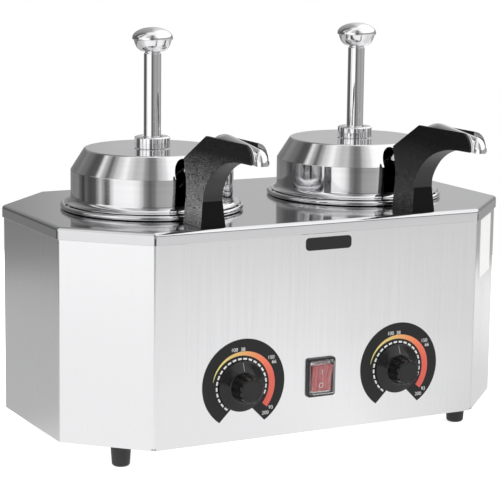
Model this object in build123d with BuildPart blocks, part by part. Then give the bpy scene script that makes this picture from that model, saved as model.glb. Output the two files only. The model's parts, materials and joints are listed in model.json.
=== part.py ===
from build123d import *
import math
import os

os.makedirs("parts", exist_ok=True)

# Twin hot fudge topping warmer. Millimetres. +X right along the front, +Y to the back, +Z up.
# The origin is on the table, under the middle of the cabinet.

# ---- cabinet ----
CASING_WIDTH = 402.0
CASING_DEPTH = 228.0
CASING_HEIGHT = 170.0
CORNER_CUT = 55.5
CORNER_BEND = 3.0
SHEET = 1.0
TOP_FLANGE = 12.0
FOLD_BEVEL = 2.0
RELIEF_WIDTH = 3.0
RELIEF_HEIGHT = 4.0

DECK_SHEET = 1.2
DECK_LIP = 10.0
DECK_ROUND = 3.0
LIP_GAP = 0.2
LIP_SLIT = 0.8

BASE_SHEET = 1.2
BASE_FLANGE = 14.0
VENT_LENGTH = 40.0
VENT_WIDTH = 3.6
VENT_PITCH = 12.0
VENT_COUNT = 2

# ---- feet ----
FOOT_HEIGHT = 20.0
FOOT_X = 156.0
FOOT_Y = 75.0
FOOT_TOP_RADIUS = 8.5
FOOT_TAPER = 4.3
FOOT_SOLE_BEVEL = 2.4
STUD_RADIUS = 2.5
STUD_DEPTH = 9.0
NUT_ACROSS_FLATS = 8.0
NUT_HEIGHT = 4.0

# ---- wells and jars ----
WELL_SPACING = 190.0
JAR_RADIUS = 67.6
JAR_SHEET = 0.8
JAR_BEVEL = 5.0
RIM_REACH = 4.8
BEAD_RADIUS = 2.0
SEAT_GAP = 0.3

WELL_CLEARANCE = 3.0
WELL_SHEET = 1.0
WELL_FLANGE = 8.0
WELL_BEVEL = 6.0
SPACE_UNDER_WELL = 23.0
SPACE_UNDER_JAR = 10.5
HEATER_INSET = 20.6
HEATER_THICKNESS = 5.0

# ---- lid ----
LID_SHEET = 1.0
LID_CLEARANCE = 0.8
LID_FLANGE = 5.2
LID_FLARE = 4.6
LID_SKIRT = 6.5
LID_SHOULDER = 26.5
LID_HEIGHT = 44.0
LID_CONE_WIDTH = 11.0
LID_TOP_ROUND = 2.5
NOTCH_WIDTH = 19.4
NOTCH_SILL = 4.5
NOTCH_ARCH = 14.6

# ---- pump ----
CYLINDER_BORE = 13.5
CYLINDER_WALL = 1.5
NECK_WALL = 3.0
NECK_HEIGHT = 7.5
CYLINDER_TOP_WALL = 3.5
BUSH_FLANGE = 1.6
FIT_GAP = 0.05
BUSH_WALL = 2.0
COLLAR_WALL = 2.5
COLLAR_HEIGHT = 9.5
COLLAR_CLEARANCE = 0.9
COLLAR_LIP = 1.4
ROD_RADIUS = 7.0
ROD_SHOULDER_STEP = 2.5
ROD_SHOULDER_HEIGHT = 4.0
ROD_SHOWN = 66.0
KNOB_SHANK_RADIUS = 5.0
KNOB_SHANK = 11.0
KNOB_RADIUS = 16.4
KNOB_HEIGHT = 21.6
KNOB_EQUATOR = 11.4
KNOB_BOWL_RADIUS = 14.6
KNOB_FOOT_RADIUS = 10.2
PISTON_HEIGHT = 16.0
PISTON_DROP = 82.0
SEAL_HEIGHT = 3.0
SEAL_DEPTH = 2.0
SPRING_WIRE_WIDTH = 2.2
SPRING_WIRE_HEIGHT = 1.4
SPRING_RADIUS = 10.6
SPRING_TURNS = 4
VALVE_HEIGHT = 15.0
VALVE_CLEARANCE = 5.0
VALVE_RADIUS = 17.0
VALVE_PORT = 4.0
BALL_RADIUS = 5.0

# ---- discharge tube and heated spout ----
TUBE_RADIUS = 5.0
TUBE_WALL = 0.8
RISER_Y = -24.0
CREST_Y = -126.0
CREST_HEIGHT = 70.2
OUTLET_Y = -188.0
OUTLET_HEIGHT = 57.5
RISE_ANGLE = 28.7
FALL_ANGLE = 5.9
RISER_BEND = 14.0
CREST_BEND = 30.0
OUTLET_BEND = 6.4
SOCKET_RADIUS = 8.0
SOCKET_DEPTH = 8.0

TROUGH_SHEET = 0.6
TROUGH_GAP = 0.4
TROUGH_BACK = -80.5
TROUGH_END = -182.3
CHEEK_BACK = -171.5
HOUSING_BASE = 21.5
HOUSING_WAIST = 16.4
HOUSING_NOSE = 13.6
SPOUT_HEATER_THICKNESS = 5.0
SPOUT_HEATER_LENGTH = 26.0

# ---- front controls ----
CONTROL_HEIGHT = 44.0
DIAL_SPACING = 142.0
DIAL_PLATE_RADIUS = 36.0
DIAL_PLATE_SHIFT_X = 2.2
DIAL_PLATE_SHIFT_Z = 1.3
DIAL_PLATE_THICKNESS = 0.6
DIAL_NOTCH_DROP = 9.0
SHAFT_RADIUS = 3.0
SHAFT_HOLE_RADIUS = 5.0
DIAL_GAP = 0.5
SKIRT_RADIUS = 20.3
SKIRT_THICKNESS = 4.5
GRIP_RADIUS = 11.0
GRIP_HEIGHT = 13.2
GRIP_TAPER = 7.0
GRIP_FLUTES = 12
FLUTE_RADIUS = 1.7
THERMOSTAT_WIDTH = 34.0
THERMOSTAT_HEIGHT = 38.0
THERMOSTAT_DEPTH = 30.0
SENSOR_RADIUS = 3.0
SENSOR_LENGTH = 60.0
SENSOR_DROP = 10.0
CAPILLARY_RADIUS = 1.0

SWITCH_WIDTH = 25.5
SWITCH_HEIGHT = 31.5
BEZEL_THICKNESS = 2.6
SWITCH_BODY_WIDTH = 22.0
SWITCH_BODY_HEIGHT = 28.4
SWITCH_BODY_DEPTH = 24.0
SWITCH_WALL = 1.2
WINDOW_WIDTH = 19.6
WINDOW_HEIGHT = 25.2
ROCKER_GAP = 0.5
ROCKER_TILT = 9.0
ROCKER_PIVOT_DEPTH = 6.0
COVER_STAND = 3.6
COVER_WALL = 0.7
COVER_WIDTH = 22.0
COVER_TALL = 27.6
COVER_CORNER = 1.6
COVER_DRAFT = 8.0

PLATE_X = 5.5
PLATE_DROP = 18.3
PLATE_WIDTH = 41.0
PLATE_TALL = 10.2
PLATE_THICKNESS = 0.6
SIDE_LABEL_DROP = 36.5
SIDE_LABEL_WIDTH = 44.0
SIDE_LABEL_TALL = 49.0
SIDE_LABEL_THICKNESS = 0.3

# ---- back ----
GLAND_X = 120.0
GLAND_HEIGHT = 30.0
GLAND_BORE = 3.5
GLAND_THREAD = 6.0
GLAND_HEX = 18.0
GLAND_HEX_HEIGHT = 4.0
GLAND_DOME = 11.0
TERMINAL_LENGTH = 60.0
TERMINAL_WIDTH = 20.0
TERMINAL_HEIGHT = 16.0

# ---- radii worked out from the sizes above ----
WELL_RADIUS = JAR_RADIUS + WELL_CLEARANCE
HEATER_RADIUS = WELL_RADIUS - HEATER_INSET
BEAD_RING_RADIUS = JAR_RADIUS + RIM_REACH
LID_RADIUS = JAR_RADIUS - JAR_SHEET - LID_CLEARANCE
LID_FLANGE_RADIUS = LID_RADIUS + LID_FLANGE
LID_TOP_RADIUS = LID_RADIUS - LID_CONE_WIDTH
NECK_BORE = ROD_RADIUS + BUSH_WALL
NECK_RADIUS = NECK_BORE + NECK_WALL
COLLAR_RADIUS = NECK_RADIUS + COLLAR_WALL
COLLAR_OPENING = ROD_RADIUS + COLLAR_CLEARANCE
ROD_SHOULDER = ROD_RADIUS + ROD_SHOULDER_STEP

# ---- levels and places worked out from the sizes above ----
CASING_BOTTOM = FOOT_HEIGHT
DECK_TOP = CASING_BOTTOM + CASING_HEIGHT
DECK_UNDER = DECK_TOP - DECK_SHEET
FRONT_Y = -CASING_DEPTH / 2
BACK_Y = CASING_DEPTH / 2
BASE_TOP = CASING_BOTTOM + BASE_SHEET
BASE_GROW = -SHEET - LIP_GAP
RIM_CENTRE = DECK_TOP + SEAT_GAP + BEAD_RADIUS
RIM_TOP = RIM_CENTRE + BEAD_RADIUS
LID_BOTTOM = RIM_TOP + SEAT_GAP
LID_TOP = LID_BOTTOM + LID_HEIGHT
WELL_BOTTOM = CASING_BOTTOM + SPACE_UNDER_WELL - DECK_SHEET
WELL_DEPTH = DECK_UNDER - WELL_BOTTOM
JAR_BOTTOM = WELL_BOTTOM + SPACE_UNDER_JAR
CYLINDER_TOP = LID_TOP - LID_SHEET
BUSH_BOTTOM = CYLINDER_TOP - CYLINDER_TOP_WALL - BUSH_FLANGE
VALVE_BOTTOM = JAR_BOTTOM + JAR_SHEET + VALVE_CLEARANCE
VALVE_TOP = VALVE_BOTTOM + VALVE_HEIGHT
COLLAR_TOP = LID_TOP + COLLAR_HEIGHT
ROD_TOP = COLLAR_TOP + ROD_SHOWN
SHOULDER_TOP = BUSH_BOTTOM - SEAT_GAP
PISTON_BOTTOM = SHOULDER_TOP - PISTON_DROP
CONTROL_Z = CASING_BOTTOM + CONTROL_HEIGHT
CREST_Z = DECK_TOP + CREST_HEIGHT
OUTLET_Z = DECK_TOP + OUTLET_HEIGHT
RISE = math.tan(math.radians(RISE_ANGLE))
FALL = math.tan(math.radians(FALL_ANGLE))
TROUGH_INSIDE = TUBE_RADIUS + TROUGH_GAP
TROUGH_OUTSIDE = TROUGH_INSIDE + TROUGH_SHEET
DIAL_FACE_Y = FRONT_Y - DIAL_PLATE_THICKNESS
SIDES = (("left", -1), ("right", 1))


def save(piece, name):
    """Label a finished piece and write it out under the same name."""
    piece.part.label = name
    export_step(piece.part, f"parts/{name}.step")


def octagon(grow):
    """Plan outline of the cabinet, grown outwards all round."""
    Rectangle(CASING_WIDTH + 2 * grow, CASING_DEPTH + 2 * grow)
    chamfer(vertices(), CORNER_CUT + grow * (2 - math.sqrt(2)))
    fillet(vertices(), max(CORNER_BEND + grow, SHEET))


def front_plane(x, z, y=FRONT_Y):
    """A plane standing on the front panel and looking out towards the user."""
    return Plane(origin=(x, y, z), x_dir=(1, 0, 0), z_dir=(0, -1, 0))


def pump_plane(x):
    """The upright XZ plane through a pump's axis, for turned profiles."""
    return Plane(origin=(x, 0, 0), x_dir=(1, 0, 0), z_dir=(0, -1, 0))


def pump_axis(x):
    return Axis((x, 0, 0), (0, 0, 1))


def corner_places(width, depth):
    """The two front corners and the two back corners of the cabinet's long faces."""
    return [(sx * (width / 2 - CORNER_CUT), sy * depth / 2) for sx in (-1, 1) for sy in (-1, 1)]


# =========================== cabinet ===========================
with BuildPart() as casing:
    with BuildSketch(Plane.XY.offset(CASING_BOTTOM)):
        octagon(0)
    extrude(amount=CASING_HEIGHT - DECK_SHEET)
    chamfer(casing.edges().group_by(Axis.Z)[-1], FOLD_BEVEL)
    offset(amount=-SHEET, openings=casing.faces().sort_by(Axis.Z)[0])
    with BuildSketch(Plane.XY.offset(DECK_UNDER)):
        octagon(-TOP_FLANGE)
    extrude(amount=-2 * SHEET, mode=Mode.SUBTRACT)
    # relief notches where the folds meet the bottom edge
    with BuildSketch(Plane.XY.offset(CASING_BOTTOM)):
        with Locations(corner_places(CASING_WIDTH, CASING_DEPTH)):
            Rectangle(RELIEF_WIDTH, 4 * RELIEF_WIDTH)
    extrude(amount=RELIEF_HEIGHT, mode=Mode.SUBTRACT)
    # switch cut-out and the two thermostat shaft holes
    with BuildSketch(front_plane(0, CONTROL_Z)):
        Rectangle(SWITCH_BODY_WIDTH + 2 * LIP_GAP, SWITCH_BODY_HEIGHT + 2 * LIP_GAP)
        with GridLocations(DIAL_SPACING, 1, 2, 1):
            Circle(SHAFT_HOLE_RADIUS)
    extrude(amount=-3 * SHEET, mode=Mode.SUBTRACT)
    # cable gland hole in the back
    with BuildSketch(Plane.XZ.offset(-BACK_Y)):
        with Locations((GLAND_X, CASING_BOTTOM + GLAND_HEIGHT)):
            Circle(GLAND_THREAD + LIP_GAP)
    extrude(amount=3 * SHEET, mode=Mode.SUBTRACT)
save(casing, "casing")

with BuildPart() as deck:
    with BuildSketch(Plane.XY.offset(DECK_TOP - DECK_LIP)):
        octagon(LIP_GAP + DECK_SHEET)
    extrude(amount=DECK_LIP)
    fillet(deck.edges().group_by(Axis.Z)[-1], DECK_ROUND)
    offset(amount=-DECK_SHEET, openings=deck.faces().sort_by(Axis.Z)[0])
    with BuildSketch(Plane.XY.offset(DECK_TOP)):
        with GridLocations(WELL_SPACING, 1, 2, 1):
            Circle(WELL_RADIUS)
    extrude(amount=-2 * DECK_SHEET, mode=Mode.SUBTRACT)
    # the folded lips aren't welded at the four corners of the long sides
    with BuildSketch(Plane.XY.offset(DECK_TOP - DECK_LIP)):
        with Locations(corner_places(CASING_WIDTH, CASING_DEPTH)):
            Rectangle(LIP_SLIT, 6 * DECK_SHEET)
    extrude(amount=DECK_LIP - DECK_ROUND, mode=Mode.SUBTRACT)
save(deck, "deck")

with BuildPart() as base_plate:
    with BuildSketch(Plane.XY.offset(CASING_BOTTOM)):
        octagon(BASE_GROW)
    extrude(amount=BASE_FLANGE)
    offset(amount=-BASE_SHEET, openings=base_plate.faces().sort_by(Axis.Z)[-1])
    with BuildSketch(Plane.XY.offset(CASING_BOTTOM)):
        with GridLocations(2 * FOOT_X, 2 * FOOT_Y, 2, 2):
            Circle(STUD_RADIUS + LIP_GAP)
        with GridLocations(WELL_SPACING, VENT_PITCH, 2, VENT_COUNT):
            SlotOverall(VENT_LENGTH, VENT_WIDTH)
    extrude(amount=2 * BASE_SHEET, mode=Mode.SUBTRACT)
save(base_plate, "base_plate")

# =========================== feet ===========================
with BuildPart() as feet:
    with BuildSketch(Plane.XY.offset(FOOT_HEIGHT)):
        with GridLocations(2 * FOOT_X, 2 * FOOT_Y, 2, 2):
            Circle(FOOT_TOP_RADIUS)
    extrude(amount=-FOOT_HEIGHT, taper=FOOT_TAPER)
    chamfer(feet.edges().group_by(Axis.Z)[0], FOOT_SOLE_BEVEL)
    with BuildSketch(Plane.XY.offset(FOOT_HEIGHT)):
        with GridLocations(2 * FOOT_X, 2 * FOOT_Y, 2, 2):
            Circle(STUD_RADIUS + FIT_GAP)
    extrude(amount=-STUD_DEPTH, mode=Mode.SUBTRACT)
save(feet, "feet")

with BuildPart() as foot_studs:
    with BuildSketch(Plane.XY.offset(FOOT_HEIGHT - STUD_DEPTH)):
        with GridLocations(2 * FOOT_X, 2 * FOOT_Y, 2, 2):
            Circle(STUD_RADIUS)
    extrude(amount=STUD_DEPTH + BASE_SHEET + NUT_HEIGHT + 1)
save(foot_studs, "foot_studs")

with BuildPart() as foot_nuts:
    with BuildSketch(Plane.XY.offset(BASE_TOP)):
        with GridLocations(2 * FOOT_X, 2 * FOOT_Y, 2, 2):
            RegularPolygon(NUT_ACROSS_FLATS / 2, 6, major_radius=False)
            Circle(STUD_RADIUS + FIT_GAP, mode=Mode.SUBTRACT)
    extrude(amount=NUT_HEIGHT)
save(foot_nuts, "foot_nuts")


# =========================== wells, heaters, jars ===========================
def build_well(side, x):
    """Drawn pot that hangs from the deck by its flange, and the plate heater under it."""
    outer = WELL_RADIUS + WELL_SHEET
    with BuildPart() as well:
        with BuildSketch(Plane.XY.offset(WELL_BOTTOM - WELL_SHEET)):
            with Locations((x, 0)):
                Circle(outer)
        extrude(amount=WELL_DEPTH + WELL_SHEET)
        chamfer(well.edges().group_by(Axis.Z)[0], WELL_BEVEL)
        offset(amount=-WELL_SHEET, openings=well.faces().sort_by(Axis.Z)[-1])
        with BuildSketch(Plane.XY.offset(DECK_UNDER - WELL_SHEET)):
            with Locations((x, 0)):
                Circle(outer + WELL_FLANGE)
                Circle(WELL_RADIUS, mode=Mode.SUBTRACT)
        extrude(amount=WELL_SHEET)
    save(well, f"well_{side}")

    with BuildPart() as heater:
        with BuildSketch(Plane.XY.offset(WELL_BOTTOM - WELL_SHEET)):
            with Locations((x, 0)):
                Circle(HEATER_RADIUS)
        extrude(amount=-HEATER_THICKNESS)
        # two terminal posts on the underside
        with BuildSketch(Plane.XY.offset(WELL_BOTTOM - WELL_SHEET - HEATER_THICKNESS)):
            with Locations((x - 12, 30), (x + 12, 30)):
                Circle(STUD_RADIUS)
        extrude(amount=-HEATER_THICKNESS)
    save(heater, f"heater_{side}")


def build_jar(side, x):
    """Spun jar: straight wall, bevelled foot, flat shoulder and a rolled rim that sits on the deck."""
    inside = JAR_RADIUS - JAR_SHEET
    half = JAR_SHEET / 2
    with BuildPart() as jar:
        with BuildSketch(pump_plane(x)) as profile:
            with BuildLine():
                Polyline(
                    (0, JAR_BOTTOM),
                    (JAR_RADIUS, JAR_BOTTOM),
                    (JAR_RADIUS, RIM_CENTRE - half),
                    (BEAD_RING_RADIUS - half, RIM_CENTRE - half),
                    (BEAD_RING_RADIUS - half, RIM_CENTRE - BEAD_RADIUS),
                    (BEAD_RING_RADIUS, RIM_CENTRE - BEAD_RADIUS),
                )
                ThreePointArc(
                    (BEAD_RING_RADIUS, RIM_CENTRE - BEAD_RADIUS),
                    (BEAD_RING_RADIUS + BEAD_RADIUS, RIM_CENTRE),
                    (BEAD_RING_RADIUS, RIM_CENTRE + BEAD_RADIUS),
                )
                Polyline(
                    (BEAD_RING_RADIUS, RIM_CENTRE + BEAD_RADIUS),
                    (BEAD_RING_RADIUS - half, RIM_CENTRE + BEAD_RADIUS),
                    (BEAD_RING_RADIUS - half, RIM_CENTRE + half),
                    (inside, RIM_CENTRE + half),
                    (inside, JAR_BOTTOM + JAR_SHEET),
                    (0, JAR_BOTTOM + JAR_SHEET),
                    (0, JAR_BOTTOM),
                )
            make_face()
            at_outer_foot = profile.vertices().sort_by_distance((JAR_RADIUS, JAR_BOTTOM, 0))[0]
            chamfer(at_outer_foot, JAR_BEVEL)
            at_inner_foot = profile.vertices().sort_by_distance((inside, JAR_BOTTOM + JAR_SHEET, 0))[0]
            chamfer(at_inner_foot, JAR_BEVEL - 0.6 * JAR_SHEET)
        revolve(axis=pump_axis(x))
    save(jar, f"jar_{side}")


# =========================== lid and pump ===========================
def build_lid(side, x):
    """Spun lid: flat top, conical shoulder, straight wall that locates in the jar, flared flange."""
    shoulder = LID_BOTTOM + LID_SHOULDER
    wall_in = LID_RADIUS - LID_SHEET
    skirt = LID_BOTTOM - LID_SKIRT
    flange_top = LID_BOTTOM + LID_SHEET
    with BuildPart() as lid:
        with BuildSketch(pump_plane(x)) as profile:
            with BuildLine():
                Polyline((NECK_RADIUS + FIT_GAP, LID_TOP), (LID_TOP_RADIUS, LID_TOP), (LID_RADIUS, shoulder))
                Line((LID_RADIUS, shoulder), (LID_RADIUS, flange_top + LID_FLARE))
                RadiusArc(
                    (LID_RADIUS, flange_top + LID_FLARE),
                    (LID_RADIUS + LID_FLARE, flange_top),
                    LID_FLARE,
                )
                Polyline(
                    (LID_RADIUS + LID_FLARE, flange_top),
                    (LID_FLANGE_RADIUS, flange_top),
                    (LID_FLANGE_RADIUS, LID_BOTTOM),
                    (LID_RADIUS, LID_BOTTOM),
                    (LID_RADIUS, skirt),
                    (wall_in, skirt),
                    (wall_in, shoulder - LID_SHEET / 2),
                    (LID_TOP_RADIUS - LID_SHEET, LID_TOP - LID_SHEET),
                    (NECK_RADIUS + FIT_GAP, LID_TOP - LID_SHEET),
                    (NECK_RADIUS + FIT_GAP, LID_TOP),
                )
            make_face()
            at_top = profile.vertices().sort_by_distance((LID_TOP_RADIUS, LID_TOP, 0))[0]
            fillet(at_top, LID_TOP_ROUND)
        revolve(axis=pump_axis(x))
        # arched notch in the front wall, where the discharge tube leaves
        with BuildSketch(front_plane(x, 0, y=-LID_RADIUS / 2)):
            arch = shoulder + LID_SHEET
            with BuildLine():
                Polyline(
                    (-NOTCH_WIDTH / 2, arch),
                    (-NOTCH_WIDTH / 2, flange_top + NOTCH_SILL),
                    (NOTCH_WIDTH / 2, flange_top + NOTCH_SILL),
                    (NOTCH_WIDTH / 2, arch),
                )
                EllipticalCenterArc((0, arch), NOTCH_WIDTH / 2, NOTCH_ARCH, arc_size=180)
            make_face()
        extrude(amount=LID_FLANGE_RADIUS, mode=Mode.SUBTRACT)
    save(lid, f"lid_{side}")


def build_pump(side, x):
    """Pump parts fixed to the lid: cylinder with threaded neck, rod bush, collar nut, valve body, ball."""
    cylinder_radius = CYLINDER_BORE + CYLINDER_WALL
    neck_top = LID_TOP + NECK_HEIGHT
    with BuildPart() as cylinder:
        with BuildSketch(pump_plane(x)):
            with BuildLine():
                Polyline(
                    (CYLINDER_BORE, VALVE_TOP),
                    (cylinder_radius, VALVE_TOP),
                    (cylinder_radius, CYLINDER_TOP),
                    (NECK_RADIUS, CYLINDER_TOP),
                    (NECK_RADIUS, neck_top),
                    (NECK_BORE, neck_top),
                    (NECK_BORE, CYLINDER_TOP - CYLINDER_TOP_WALL),
                    (CYLINDER_BORE, CYLINDER_TOP - CYLINDER_TOP_WALL),
                    close=True,
                )
            make_face()
        revolve(axis=pump_axis(x))
    save(cylinder, f"pump_cylinder_{side}")

    with BuildPart() as bush:
        with BuildSketch(pump_plane(x)):
            with BuildLine():
                Polyline(
                    (ROD_RADIUS + FIT_GAP, BUSH_BOTTOM),
                    (NECK_RADIUS, BUSH_BOTTOM),
                    (NECK_RADIUS, BUSH_BOTTOM + BUSH_FLANGE),
                    (NECK_BORE - FIT_GAP, BUSH_BOTTOM + BUSH_FLANGE),
                    (NECK_BORE - FIT_GAP, neck_top),
                    (ROD_RADIUS + FIT_GAP, neck_top),
                    close=True,
                )
            make_face()
        revolve(axis=pump_axis(x))
    save(bush, f"rod_bush_{side}")

    with BuildPart() as collar:
        with BuildSketch(Plane.XY.offset(LID_TOP)):
            with Locations((x, 0)):
                Circle(COLLAR_RADIUS)
        extrude(amount=COLLAR_HEIGHT)
        chamfer(collar.edges().group_by(Axis.Z)[-1], 1.0)
        chamfer(collar.edges().group_by(Axis.Z)[0], 0.6)
        with BuildSketch(Plane.XY.offset(LID_TOP)):
            with Locations((x, 0)):
                Circle(NECK_RADIUS + FIT_GAP)
        extrude(amount=COLLAR_HEIGHT - COLLAR_LIP, mode=Mode.SUBTRACT)
        with BuildSketch(Plane.XY.offset(COLLAR_TOP)):
            with Locations((x, 0)):
                Circle(COLLAR_OPENING)
        extrude(amount=-2 * COLLAR_LIP, mode=Mode.SUBTRACT)
    save(collar, f"collar_nut_{side}")

    with BuildPart() as valve:
        with BuildSketch(Plane.XY.offset(VALVE_BOTTOM)):
            with Locations((x, 0)):
                Circle(VALVE_RADIUS)
            with Locations((x, RISER_Y)):
                Circle(SOCKET_RADIUS)
            with Locations((x, RISER_Y / 2)):
                Rectangle(2 * SOCKET_RADIUS, -RISER_Y)
        extrude(amount=VALVE_HEIGHT)
        chamfer(valve.edges().group_by(Axis.Z)[0], 1.5)
        # ball chamber over the inlet port, and the passage out to the tube socket
        with BuildSketch(Plane.XY.offset(VALVE_TOP)):
            with Locations((x, 0)):
                Circle(BALL_RADIUS + 2)
        extrude(amount=-VALVE_HEIGHT + 3, mode=Mode.SUBTRACT)
        with BuildSketch(Plane.XY.offset(VALVE_BOTTOM)):
            with Locations((x, 0)):
                Circle(VALVE_PORT)
        extrude(amount=VALVE_HEIGHT, mode=Mode.SUBTRACT)
        with BuildSketch(Plane.XY.offset(VALVE_TOP)):
            with Locations((x, RISER_Y)):
                Circle(TUBE_RADIUS + FIT_GAP)
        extrude(amount=-SOCKET_DEPTH, mode=Mode.SUBTRACT)
        with BuildSketch(front_plane(x, VALVE_TOP - SOCKET_DEPTH - TUBE_WALL, y=0)):
            Circle(VALVE_PORT - TUBE_WALL)
        extrude(amount=-RISER_Y, mode=Mode.SUBTRACT)
    save(valve, f"valve_body_{side}")

    # the ball rests on the rim of the inlet port
    seat = VALVE_BOTTOM + 3
    ball_centre = seat + math.sqrt((BALL_RADIUS + SEAT_GAP) ** 2 - VALVE_PORT**2)
    with BuildPart() as ball:
        with Locations((x, 0, ball_centre)):
            Sphere(BALL_RADIUS)
    save(ball, f"inlet_ball_{side}")


def build_plunger(side, x):
    """The pieces that move when the knob is pressed, and the spring that lifts them."""
    shank_top = ROD_TOP + KNOB_SHANK
    with BuildPart() as rod:
        with BuildSketch(pump_plane(x)):
            with BuildLine():
                Polyline(
                    (0, PISTON_BOTTOM + SEAL_HEIGHT),
                    (KNOB_SHANK_RADIUS, PISTON_BOTTOM + SEAL_HEIGHT),
                    (KNOB_SHANK_RADIUS, PISTON_BOTTOM + PISTON_HEIGHT),
                    (ROD_RADIUS, PISTON_BOTTOM + PISTON_HEIGHT),
                    (ROD_RADIUS, SHOULDER_TOP - ROD_SHOULDER_HEIGHT),
                    (ROD_SHOULDER, SHOULDER_TOP - ROD_SHOULDER_HEIGHT),
                    (ROD_SHOULDER, SHOULDER_TOP),
                    (ROD_RADIUS, SHOULDER_TOP),
                    (ROD_RADIUS, ROD_TOP),
                    (KNOB_SHANK_RADIUS, ROD_TOP),
                    (KNOB_SHANK_RADIUS, shank_top),
                    (0, shank_top),
                    close=True,
                )
            make_face()
        revolve(axis=pump_axis(x))
    save(rod, f"plunger_rod_{side}")

    groove = CYLINDER_BORE - SEAL_DEPTH
    middle = PISTON_BOTTOM + PISTON_HEIGHT / 2
    with BuildPart() as piston:
        with BuildSketch(Plane.XY.offset(PISTON_BOTTOM)):
            with Locations((x, 0)):
                Circle(CYLINDER_BORE - 2 * FIT_GAP)
        extrude(amount=PISTON_HEIGHT)
        with BuildSketch(Plane.XY.offset(middle - SEAL_HEIGHT / 2)):
            with Locations((x, 0)):
                Circle(CYLINDER_BORE)
                Circle(groove, mode=Mode.SUBTRACT)
        extrude(amount=SEAL_HEIGHT, mode=Mode.SUBTRACT)
        with BuildSketch(Plane.XY.offset(PISTON_BOTTOM + SEAL_HEIGHT)):
            with Locations((x, 0)):
                Circle(KNOB_SHANK_RADIUS + FIT_GAP)
        extrude(amount=PISTON_HEIGHT, mode=Mode.SUBTRACT)
    save(piston, f"piston_{side}")

    with BuildPart() as seal:
        with BuildSketch(Plane.XY.offset(middle - SEAL_HEIGHT / 2)):
            with Locations((x, 0)):
                Circle(CYLINDER_BORE - FIT_GAP)
                Circle(groove, mode=Mode.SUBTRACT)
        extrude(amount=SEAL_HEIGHT)
    save(seal, f"piston_seal_{side}")

    with BuildPart() as knob:
        with BuildSketch(pump_plane(x)):
            with BuildLine():
                Polyline(
                    (0, ROD_TOP + KNOB_HEIGHT),
                    (0, shank_top),
                    (KNOB_SHANK_RADIUS + FIT_GAP, shank_top),
                    (KNOB_SHANK_RADIUS + FIT_GAP, ROD_TOP),
                    (KNOB_FOOT_RADIUS - 1, ROD_TOP),
                    (KNOB_FOOT_RADIUS, ROD_TOP + 1.2),
                )
                # a bowl, a narrow rim and a flattened dome
                RadiusArc(
                    (KNOB_FOOT_RADIUS, ROD_TOP + 1.2),
                    (KNOB_BOWL_RADIUS, ROD_TOP + KNOB_EQUATOR - 2),
                    KNOB_RADIUS,
                )
                Line((KNOB_BOWL_RADIUS, ROD_TOP + KNOB_EQUATOR - 2), (KNOB_RADIUS - 0.3, ROD_TOP + KNOB_EQUATOR - 2))
                Line((KNOB_RADIUS - 0.3, ROD_TOP + KNOB_EQUATOR - 2), (KNOB_RADIUS, ROD_TOP + KNOB_EQUATOR))
                Spline(
                    (KNOB_RADIUS, ROD_TOP + KNOB_EQUATOR),
                    (0.71 * KNOB_RADIUS, ROD_TOP + 0.29 * KNOB_EQUATOR + 0.71 * KNOB_HEIGHT),
                    (0, ROD_TOP + KNOB_HEIGHT),
                    tangents=((0, 1), (-1, 0)),
                )
            make_face()
        revolve(axis=pump_axis(x))
    save(knob, f"plunger_knob_{side}")

    # flat-wire spring between the valve body and the piston
    spring_bottom = VALVE_TOP + SPRING_WIRE_HEIGHT / 2 + FIT_GAP
    spring_length = PISTON_BOTTOM - VALVE_TOP - SPRING_WIRE_HEIGHT - 2 * FIT_GAP
    with BuildPart() as spring:
        with BuildLine() as coil:
            Helix(
                pitch=spring_length / SPRING_TURNS,
                height=spring_length,
                radius=SPRING_RADIUS,
                center=(x, 0, spring_bottom),
            )
        with BuildSketch(Plane(origin=coil.line @ 0, x_dir=(1, 0, 0), z_dir=coil.line % 0)):
            Rectangle(SPRING_WIRE_WIDTH, SPRING_WIRE_HEIGHT)
        sweep(is_frenet=True)
    save(spring, f"return_spring_{side}")


# =========================== discharge tube and heated spout ===========================
def tube_line(drop):
    """Two straight lines under the tube, `drop` below its axis: (slope, height at y=0), rise and fall."""
    rise_drop = drop / math.cos(math.radians(RISE_ANGLE))
    fall_drop = drop / math.cos(math.radians(FALL_ANGLE))
    rise = (-RISE, CREST_Z + RISE * CREST_Y - rise_drop)
    fall = (FALL, CREST_Z - FALL * CREST_Y - fall_drop)
    return rise, fall


def under_tube(drop, back, front):
    """Points (y, z) of the line `drop` below the tube's axis, from back over the crest to front."""
    (rise, rise_base), (fall, fall_base) = tube_line(drop)
    crest = (fall_base - rise_base) / (rise - fall)
    return [
        (back, rise * back + rise_base),
        (crest, rise * crest + rise_base),
        (front, fall * front + fall_base),
    ]


def build_discharge_tube(side, x):
    """Bent tube from the valve body up beside the cylinder, out through the lid and along the spout."""
    start = VALVE_TOP - SOCKET_DEPTH
    axis_points = under_tube(0, RISER_Y, OUTLET_Y)
    with BuildPart() as tube:
        with BuildLine(Plane.YZ.offset(x)):
            FilletPolyline(
                (RISER_Y, start),
                *axis_points,
                (OUTLET_Y, OUTLET_Z),
                radius=(RISER_BEND, CREST_BEND, OUTLET_BEND),
            )
        with BuildSketch(Plane.XY.offset(start)):
            with Locations((x, RISER_Y)):
                Circle(TUBE_RADIUS)
                Circle(TUBE_RADIUS - TUBE_WALL, mode=Mode.SUBTRACT)
        sweep()
    save(tube, f"discharge_tube_{side}")


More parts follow.
